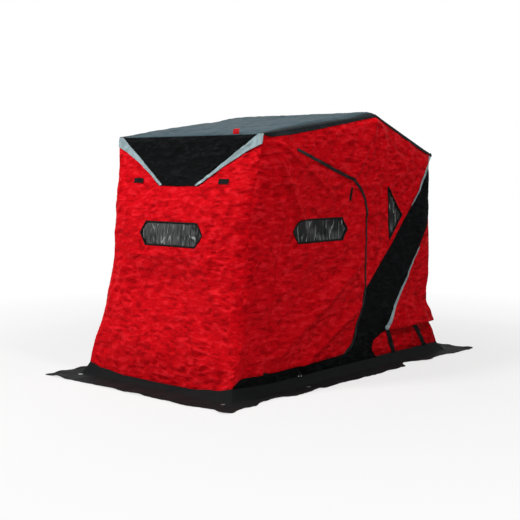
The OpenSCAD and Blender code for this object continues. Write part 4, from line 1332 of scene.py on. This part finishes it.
def roof_binding(name, side):
    """The roof's dark edge, folded over the side wall's upper edge and hanging a little low"""
    line = np.concatenate([np.linspace(FRONT_TOP, RIDGE, 130),
                           np.linspace(RIDGE, REAR_TOP, 84)[1:]])
    lap = through(ROOF_LAP, line[:, 0])
    edge = np.stack([np.full(len(line), side * HALF_W), line[:, 0] + FOOT.y, line[:, 1]], 1)
    rows = []
    for share in LAP_ROWS:
        p = edge - np.array([0, 0, 1]) * (lap * share)[:, None]
        flat = np.stack([side * p[:, 1], p[:, 2]], 1)
        crest = fabric().crinkle * np.maximum(crinkle(p, flat), 0) * ease(lap * share / 0.03)
        ripple = 1.5 * MM * noise(p, 0.05, 63) * share
        rows.append(p + side_shift(p)
                    + np.array([side, 0, 0]) * (BINDING_PROUD + ripple + crest)[:, None])
    for inboard in INBOARD_ROWS:
        p = edge - np.array([side * inboard, 0, 0])
        front = SHIFTS["roof_front"][1](p)
        rear = SHIFTS["roof_rear"][1](p)
        move = np.where(line[:, :1] < RIDGE[0], front, rear)
        rows.append(p + move + np.array([0, 0, 1.6 * MM]))
    n, k = len(line), len(rows)
    verts = np.stack(rows, 1).reshape(-1, 3)
    faces = [(i * k + j, (i + 1) * k + j, (i + 1) * k + j + 1, i * k + j + 1)
             for i in range(n - 1) for j in range(k - 1)]
    if side < 0:
        faces = [f[::-1] for f in faces]
    flat = np.array([(i * 0.01, j * 0.008) for i in range(n) for j in range(k)])
    far = np.full(len(verts), 0.1)
    obj = mesh_piece(f"roof_edge_binding_{name}", verts, faces, flat, seam=far, run=far)
    thicken(obj, 1.6 * MM, offset=1.0)
    dress(obj, "shelter", "roof_binding", "roof_fabric")


def roof_tab():
    """A short loop of red webbing sewn to the roof's front edge"""
    low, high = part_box("roof_tab")
    bpy.ops.object.select_all(action="DESELECT")
    bpy.ops.mesh.primitive_plane_add(size=1, location=(0, 0, 0))
    obj = bpy.context.object
    obj.name = "roof_tab_loop"
    bpy.ops.object.mode_set(mode="EDIT")
    bpy.ops.transform.resize(value=(high.x - low.x, 3 * MM, 1))
    bpy.ops.transform.translate(value=((low.x + high.x) / 2, low.y + 3 * MM, low.z))
    for rise, lean, wide in ((10, 1, 1.0), (12, 2, 0.99), (9, 4, 0.97), (3, 5, 0.9)):
        bpy.ops.mesh.extrude_region_move(
            TRANSFORM_OT_translate={"value": (0, lean * MM, rise * MM)})
        bpy.ops.transform.resize(value=(wide, 0.9, 1))
    bpy.ops.mesh.select_all(action="SELECT")
    bpy.ops.mesh.normals_make_consistent(inside=False)
    bpy.ops.object.mode_set(mode="OBJECT")
    select(obj)
    edge = obj.modifiers.new("Edge", "BEVEL")
    edge.width, edge.segments = 0.8 * MM, 2
    bpy.ops.object.modifier_apply(modifier=edge.name)
    bpy.ops.object.transform_apply(location=True, rotation=True, scale=True)
    bpy.ops.object.shade_smooth_by_angle(angle=math.radians(40))
    dress(obj, "shelter", "red_webbing", "shell_fabric", "roof_tab")


# How far behind the front wall's foot the guy rings are
RING_BACK = 0.626


def foot_ring(name, side):
    """A ring on a loop of webbing, low on the foot strip, for a guy line"""
    at = Vector((side * (HALF_W + 9 * MM), FOOT.y + RING_BACK, FOOT.z + 2 * MM))
    bpy.ops.object.select_all(action="DESELECT")
    bpy.ops.mesh.primitive_torus_add(
        major_radius=13 * MM, minor_radius=2 * MM, major_segments=32, minor_segments=10,
        location=at, rotation=(0, math.radians(90 - side * 14), 0))
    ring = bpy.context.object
    ring.name = f"foot_ring_{name}"
    bpy.ops.object.transform_apply(location=True, rotation=True, scale=True)
    for vertex in ring.data.vertices:
        vertex.select = vertex.co.z > at.z + 5 * MM
    bpy.ops.object.mode_set(mode="EDIT")
    bpy.ops.transform.resize(value=(1, 1.15, 0.35), center_override=at + Vector((0, 0, 0.005)))
    bpy.ops.object.mode_set(mode="OBJECT")
    bpy.ops.object.shade_smooth()
    dress(ring, "shelter", "plated_steel", "eyelet")

    bpy.ops.object.select_all(action="DESELECT")
    bpy.ops.mesh.primitive_plane_add(size=1)
    loop = bpy.context.object
    loop.name = f"foot_ring_loop_{name}"
    bpy.ops.object.mode_set(mode="EDIT")
    bpy.ops.transform.resize(value=(2 * MM, 16 * MM, 1))
    bpy.ops.transform.translate(value=at + Vector((-side * 5 * MM, 0, 34 * MM)))
    for out, down in ((1, 14), (3, 12), (3, 3), (-2, 3)):
        bpy.ops.mesh.extrude_region_move(
            TRANSFORM_OT_translate={"value": (side * out * MM, 0, -down * MM)})
    bpy.ops.mesh.select_all(action="SELECT")
    bpy.ops.mesh.normals_make_consistent(inside=False)
    bpy.ops.object.mode_set(mode="OBJECT")
    select(loop)
    bpy.ops.object.transform_apply(location=True, rotation=True, scale=True)
    bpy.ops.object.shade_smooth_by_angle(angle=math.radians(50))
    dress(loop, "shelter", "black_webbing", "dark_fabric")


class HUT_OT_sides(bpy.types.Operator):
    """Sew both side walls with their bands, foot strips, tapes and kite-shaped windows"""
    bl_idname = "hut.sides"
    bl_label = "Side walls"

    def execute(self, context):
        for name, side in SIDES:
            sew(f"side_cloth_{name}", [f"side_front_{name}", f"side_top_{name}"], name,
                "quilted_red", "shell_fabric")
            wall = sew(f"side_rear_cloth_{name}", [f"side_rear_{name}"], name, "quilted_red",
                       "shell_fabric")
            make_window(f"kite_window_{name}", "kite_windows", name, wall, "shelter")
            sew(f"band_cloth_{name}", [f"side_band_{name}"], name, "quilted_black",
                "dark_fabric", wrinkle=0.6)
            sew(f"foot_strip_cloth_{name}", ["foot_strips"], name, "quilted_black",
                "dark_fabric", wrinkle=0.8)
            foot_ring(name, side)
            sew(f"rear_quarter_cloth_{name}", [f"rear_quarter_{name}"], name, "quilted_red",
                "shell_fabric")
            sew(f"band_tape_{name}", ["reflective_tape"], name, "beaded_tape",
                "reflective_tape", thick=1.2 * MM, step=6 * MM,
                spread=4.5 * MM, laid=True)
        return {"FINISHED"}


# How far behind the wall's outer face the hidden tapes lie, and their width along the fold seam
TAPE_BACK = 7.6 * MM
FOLD_TAPE_WIDTH = 20 * MM


def hidden_tape(piece, name, tape, finish, slot):
    """Tape sewn behind the wall, which closes the gap along a seam"""
    points = sewn(tape, name, proud=-TAPE_BACK, wrinkle=0.0, seam=0.0)
    obj = cut(f"{piece}_{name}", tape, points, 1.6 * MM)
    dress(obj, "shelter", finish, slot)


def doorway_tapes(name, side):
    """Tapes behind the edge of the doorway and behind the seam on which the door flap folds"""
    out = SHIFTS[name][0]
    edge = Pattern(out, 6 * MM, [f"door_zip_{name}"], spread=9 * MM, boxed=False)
    hidden_tape("doorway_tape", name, edge, "black_webbing", "dark_fabric")
    foot = np.array([side * FOLD["pos_m"][1], FOLD["pos_m"][2]])
    up = -np.array([side * FOLD["axis"][1], FOLD["axis"][2]])
    across = FOLD_TAPE_WIDTH / 2 * np.array([up[1], -up[0]])
    top = foot + up * (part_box(f"door_{name}")[1].z - 0.05 - foot[1]) / up[1]
    strip = Pattern(out, 6 * MM, level=LEVELS[name],
                    rings=[(foot - across, foot + across, top + across, top - across)])
    hidden_tape("fold_tape", name, strip, "red_webbing", "shell_fabric")


class HUT_OT_doors(bpy.types.Operator):
    """Sew both door flaps with their windows, zips and pulls"""
    bl_idname = "hut.doors"
    bl_label = "Door flaps"

    def execute(self, context):
        for name, side in SIDES:
            body = f"door_{name}"
            flap = sew(f"door_cloth_{name}", [body], name, "quilted_red", "shell_fabric",
                       body=None, blend=body, lap=11 * MM)
            make_window(f"door_window_{name}", f"door_window_{name}", name, flap, body)
            sew(f"door_zip_tape_{name}", [f"door_zip_{name}"], name, "zip_coil", "zip",
                body=None, blend=body, thick=1.6 * MM, step=5 * MM,
                spread=5 * MM, proud=1.5 * MM, laid=True,
                lap=-12 * MM)
            doorway_tapes(name, side)
            sew(f"door_pull_strap_{name}", [f"door_pull_{name}"], name, "black_webbing",
                "dark_fabric", body=body, thick=1.8 * MM, step=5 * MM,
                proud=2 * MM, spread=4 * MM, laid=True)
        return {"FINISHED"}


class HUT_OT_rear(bpy.types.Operator):
    """Sew the rear wall with its header, and the cover that hangs over the sled"""
    bl_idname = "hut.rear"
    bl_label = "Rear wall and sled cover"

    def execute(self, context):
        sew("rear_wall_cloth", ["rear_wall"], "rear", "quilted_red", "shell_fabric")
        sew("rear_header_cloth", ["rear_header"], "rear", "quilted_black", "dark_fabric",
            wrinkle=0.6)
        for plane in ("right", "left", "rear"):
            sew(f"sled_cover_cloth_{plane}", [f"sled_cover_{plane}"], f"cover_{plane}",
                "quilted_red", "shell_fabric")
            sew(f"cover_strap_webbing_{plane}", ["cover_straps"], f"cover_{plane}",
                "black_webbing", "dark_fabric", thick=2 * MM, step=6 * MM,
                proud=2 * MM, spread=8 * MM, laid=True)
        return {"FINISHED"}


# Where the skirt's anchor eyelets are: distance to the right, and behind the front wall's foot
EYELETS = [(x, y) for x in (-0.66, 0.66) for y in (-0.078, 2.378)]
EYELETS += [(-0.738, 0.63), (0.738, 0.63)]
EYELET_HOLE = 11.2 * MM
# Where the skirt's outer edge draws in: (middle, half length, depth), along its front from the
# left and along its right side from the front
FRONT_NOTCHES = [(0.70, 0.14, 0.034), (-0.30, 0.22, 0.008), (0.22, 0.16, 0.010)]
SIDE_NOTCHES = [(-0.10, 0.12, 0.024), (0.20, 0.15, 0.050), (0.80, 0.22, 0.012),
                (1.73, 0.10, 0.085), (2.10, 0.12, 0.030)]
# How much the rear's and the left side's edges draw in, as a share of the seen ones
FAR_NOTCHES = 0.45
# Turns, in radians, at which the round of a corner has its points
CORNER_TURNS = (0.785, 0.5, 0.25)
# How far the skirt's inner edge is tucked in behind the shell's foot
TUCK = 16 * MM
# How far the skirt reaches beyond the sides, and beyond the front and the rear
SKIRT_SIDE, SKIRT_END = 0.18, 0.24
SKIRT_STEP = 12.5 * MM
SKIRT_THICK = 2.4 * MM


def skirt_outline():
    """The skirt's outer edge as seen from above, in its four parts, and its inner edge's corners"""
    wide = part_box("skirt_right")[1].x
    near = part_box("skirt_front")[0].y - FOOT.y
    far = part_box("skirt_rear")[1].y - FOOT.y
    corners = [(-wide, near, 0.012), (wide, near, 0.075), (wide, far, 0.02), (-wide, far, 0.02)]
    parts = []
    for k, (x, y, radius) in enumerate(corners):
        x2, y2, radius2 = corners[(k + 1) % 4]
        start, end = np.array([x, y]), np.array([x2, y2])
        length = math.hypot(x2 - x, y2 - y)
        way = (end - start) / length
        inward = np.array([-way[1], way[0]])
        first = [start + radius * (way * (1 - math.sin(a)) + inward * (1 - math.cos(a)))
                 for a in CORNER_TURNS]
        last = [end - radius2 * (way * (1 - math.sin(a)) - inward * (1 - math.cos(a)))
                for a in reversed(CORNER_TURNS)]
        middle = [start + way * t
                  for t in np.linspace(radius, length - radius2, round(length / 0.012))]
        line = np.array(first + middle + last)
        place = line @ way
        notches = FRONT_NOTCHES if k in (0, 2) else SIDE_NOTCHES
        if k > 1:
            notches = [(m * (1 if k == 2 else -1) * 0.9, w, d * FAR_NOTCHES)
                       for m, w, d in notches]
        depth = sum(d * np.exp(-((place - m) / w) ** 4) for m, w, d in notches)
        ends = np.minimum(np.arange(len(line)), np.arange(len(line))[::-1])
        spot = np.stack([line[:, 0], line[:, 1], 0 * place + k], 1)
        depth = depth + 0.004 * (1 + noise(spot, 0.09, 101)) * ease(ends / 6)
        parts.append(line + inward * (depth * ease(ends / 9))[:, None])
    for k in range(4):       # neighbours share the point on their corner
        shared = (parts[k][-1] + parts[(k + 1) % 4][0]) / 2
        parts[k][-1] = parts[(k + 1) % 4][0] = shared
    inner, back = HALF_W - TUCK, COVER_FOOT[0] - TUCK
    return parts, np.array([(-inner, 9 * MM), (inner, 9 * MM), (inner, back), (-inner, back)])


def skirt_height(x, y):
    """Height of the skirt's underside above the ice: it falls from the shell's foot, and lies in
    low waves that lift off here and there along the edge"""
    out = np.maximum.reduce([(np.abs(x) - HALF_W) / SKIRT_SIDE, -y / SKIRT_END,
                             (y - COVER_FOOT[0]) / SKIRT_END])
    near = np.stack([np.clip(x, -HALF_W, HALF_W),
                     np.clip(y, 0, COVER_FOOT[0]) + FOOT.y, 0 * x + FOOT.z], 1)
    top = FOOT.z + foot_rise(near) - 5 * MM
    spot = np.stack([x, y, 0 * x], 1)
    slope = 0.21 + 0.06 * noise(spot, 0.3, 102)
    fall = np.clip(1 - (out + 0.005) / slope, 0, 1) ** 1.25
    waves = (0.007 * np.clip(noise(spot, 0.16, 103) + 0.35, 0, 2)
             + 0.004 * np.clip(ridges(spot, 0.09, 104), 0, 1)) * ease((out - 0.12) / 0.3)
    lifted = 0.012 * np.clip(noise(spot, 0.13, 105) - 0.1, 0, 1) * ease((out - 0.65) / 0.3)
    flat = np.min([np.hypot(x - ex, y - ey) for ex, ey in EYELETS], 0)
    rest = 0.6 * MM + (waves + lifted) * ease((flat - 0.02) / 0.05)
    tucked = top + 15 * MM * ease((-out - 0.012) / 0.03)
    return np.where(out < 0, tucked, fall * top + (1 - fall) * rest)


class HUT_OT_skirt(bpy.types.Operator):
    """Spread the snow skirt round the hut's foot, with the holes for its eyelets"""
    bl_idname = "hut.skirt"
    bl_label = "Snow skirt"

    def execute(self, context):
        parts, inner = skirt_outline()
        circle = np.linspace(0, -2 * np.pi, 20, endpoint=False)
        rim = EYELET_HOLE * np.stack([np.cos(circle), np.sin(circle)], 1)
        for k, name in enumerate(("front", "right", "rear", "left")):
            ring = np.concatenate([parts[k], inner[[(k + 1) % 4]], inner[[k]]])
            low, high = ring.min(0), ring.max(0)
            holes = [np.array(e) + rim for e in EYELETS
                     if (low < e).all() and (e < high).all() and part_of(e) == k]
            pattern = Pattern((0, 0, 1), SKIRT_STEP, rings=[ring, *holes])
            x, y = pattern.flat.T
            points = np.stack([x, y + FOOT.y, skirt_height(x, y)], 1)
            obj = cut(f"skirt_cloth_{name}", pattern, points, SKIRT_THICK, offset=1.0)
            dress(obj, "shelter", "skirt_tarpaulin", "skirt_fabric", f"skirt_{name}")
        return {"FINISHED"}


def part_of(eyelet):
    """Which part of the skirt an eyelet is in: front, right, rear or left"""
    x, y = eyelet
    shares = [-y / SKIRT_END, (x - HALF_W) / SKIRT_SIDE, (y - COVER_FOOT[0]) / SKIRT_END,
              (-x - HALF_W) / SKIRT_SIDE]
    return shares.index(max(shares))


# CAD nodes that keep their shape, and the material of each
CARRIED = {
    "ridge_bow": "mill_aluminium", "rear_bow": "mill_aluminium", "roof_bow": "mill_aluminium",
    "roof_knuckles": "powder_coat", "pivot_brackets": "powder_coat",
    "frame_bolts": "plated_steel", "skirt_eyelets": "plated_steel",
    "sled_tub": "moulded_polyethylene",
}


class HUT_OT_frame(bpy.types.Operator):
    """Finish the tube frame, its plates and bolts, and the sled"""
    bl_idname = "hut.frame"
    bl_label = "Frame and sled"

    def execute(self, context):
        for node, finish in CARRIED.items():
            paint(frame["nodes"][node], finish)
        return {"FINISHED"}


# The camera's place and aim, from the photo's straight edges, and its lens on a 36 mm sensor
CAMERA_AT = Vector((4.635, -5.412, 1.391))
CAMERA_AIM = Vector((-0.078, -0.061, 0.731))
LENS_MM = 69.23
SENSOR_MM = 36
# The studio's white lamps: name, place, aim, size and watts
LAMPS = (
    ("key", (-1.2, -4.3, 6.0), (0, -0.6, 0.7), 1.0, 325),
    ("side_key", (3.9, -0.7, 5.7), (0.6, 0.1, 0.8), 1.0, 162),
    ("front_fill", (-4.2, -6.0, 1.8), (0, -0.8, 0.5), 3.0, 62),
    ("rear_fill", (-5.5, 5.0, 4.5), (0, 0, 0.8), 3.0, 60),
)
# Strength of the world's light, and its strength where the camera or a reflection sees it
WORLD_LIGHT, WORLD_SEEN = 0.08, 1.0


def area_lamp(name, at, aim, size, watts):
    """A square lamp that points at its aim"""
    data = bpy.data.lights.new(name, "AREA")
    data.shape, data.size, data.energy = "SQUARE", size, watts
    lamp = bpy.data.objects.new(name, data)
    lamp.location = at
    lamp.rotation_euler = (Vector(aim) - Vector(at)).to_track_quat("-Z", "Y").to_euler()
    bpy.context.scene.collection.objects.link(lamp)


class HUT_OT_stage(bpy.types.Operator):
    """Set up the pale floor, the soft studio light and the camera"""
    bl_idname = "hut.stage"
    bl_label = "Stage"

    def execute(self, context):
        scene = context.scene
        scene.view_settings.view_transform = "Standard"
        bpy.ops.object.select_all(action="DESELECT")
        bpy.ops.mesh.primitive_plane_add(size=60, location=(0, 0, -0.5 * MM))
        floor = bpy.context.object
        floor.name = "floor"
        paint(floor, "pale_floor")

        world = bpy.data.worlds.new("studio")
        scene.world = world
        world.use_nodes = True
        tree = world.node_tree
        tree.nodes.clear()
        path = add(tree, "ShaderNodeLightPath")
        seen = path.outputs["Is Camera Ray"]
        for ray in ("Is Glossy Ray", "Is Transmission Ray"):
            seen = add(tree, "ShaderNodeMath", {0: seen, 1: path.outputs[ray]},
                       operation="MAXIMUM").outputs[0]
        strength = add(tree, "ShaderNodeMix", {0: seen, 2: WORLD_LIGHT, 3: WORLD_SEEN},
                       data_type="FLOAT")
        sky = add(tree, "ShaderNodeBackground", {"Color": (1, 1, 1, 1), "Strength": strength})
        add(tree, "ShaderNodeOutputWorld", {"Surface": sky})
        for lamp in LAMPS:
            area_lamp(*lamp)

        data = bpy.data.cameras.new("camera")
        data.lens, data.sensor_width = LENS_MM, SENSOR_MM
        camera = bpy.data.objects.new("camera", data)
        camera.location = CAMERA_AT
        camera.rotation_euler = (CAMERA_AIM - CAMERA_AT).to_track_quat("-Z", "Y").to_euler()
        scene.collection.objects.link(camera)
        scene.camera = camera
        return {"FINISHED"}


OPERATORS = (HUT_OT_stage, HUT_OT_front, HUT_OT_roof, HUT_OT_sides, HUT_OT_doors, HUT_OT_rear,
             HUT_OT_skirt, HUT_OT_frame)


class HUT_PT_panel(bpy.types.Panel):
    """The hut's makers, in the order in which they run"""
    bl_idname = "HUT_PT_panel"
    bl_label = "Ice fishing hut"
    bl_space_type = "VIEW_3D"
    bl_region_type = "UI"
    bl_category = "Hut"

    def draw(self, context):
        for group in (context.scene.hut_fabric, context.scene.hut_colours):
            for key in group.__annotations__:
                self.layout.prop(group, key)
        for operator in OPERATORS:
            self.layout.operator(operator.bl_idname)


CLASSES = (HutFabric, HutColours, *OPERATORS, HUT_PT_panel)


def register():
    """Makes the classes and the scene's settings known to Blender"""
    for cls in CLASSES:
        bpy.utils.register_class(cls)
    bpy.types.Scene.hut_fabric = bpy.props.PointerProperty(type=HutFabric)
    bpy.types.Scene.hut_colours = bpy.props.PointerProperty(type=HutColours)


def unregister():
    """Takes the scene's settings and the classes out again"""
    del bpy.types.Scene.hut_fabric
    del bpy.types.Scene.hut_colours
    for cls in reversed(CLASSES):
        bpy.utils.unregister_class(cls)


def main():
    """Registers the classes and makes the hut"""
    register()
    for operator in OPERATORS:
        group, name = operator.bl_idname.split(".")
        getattr(getattr(bpy.ops, group), name)()


if __name__ == "__main__":
    main()
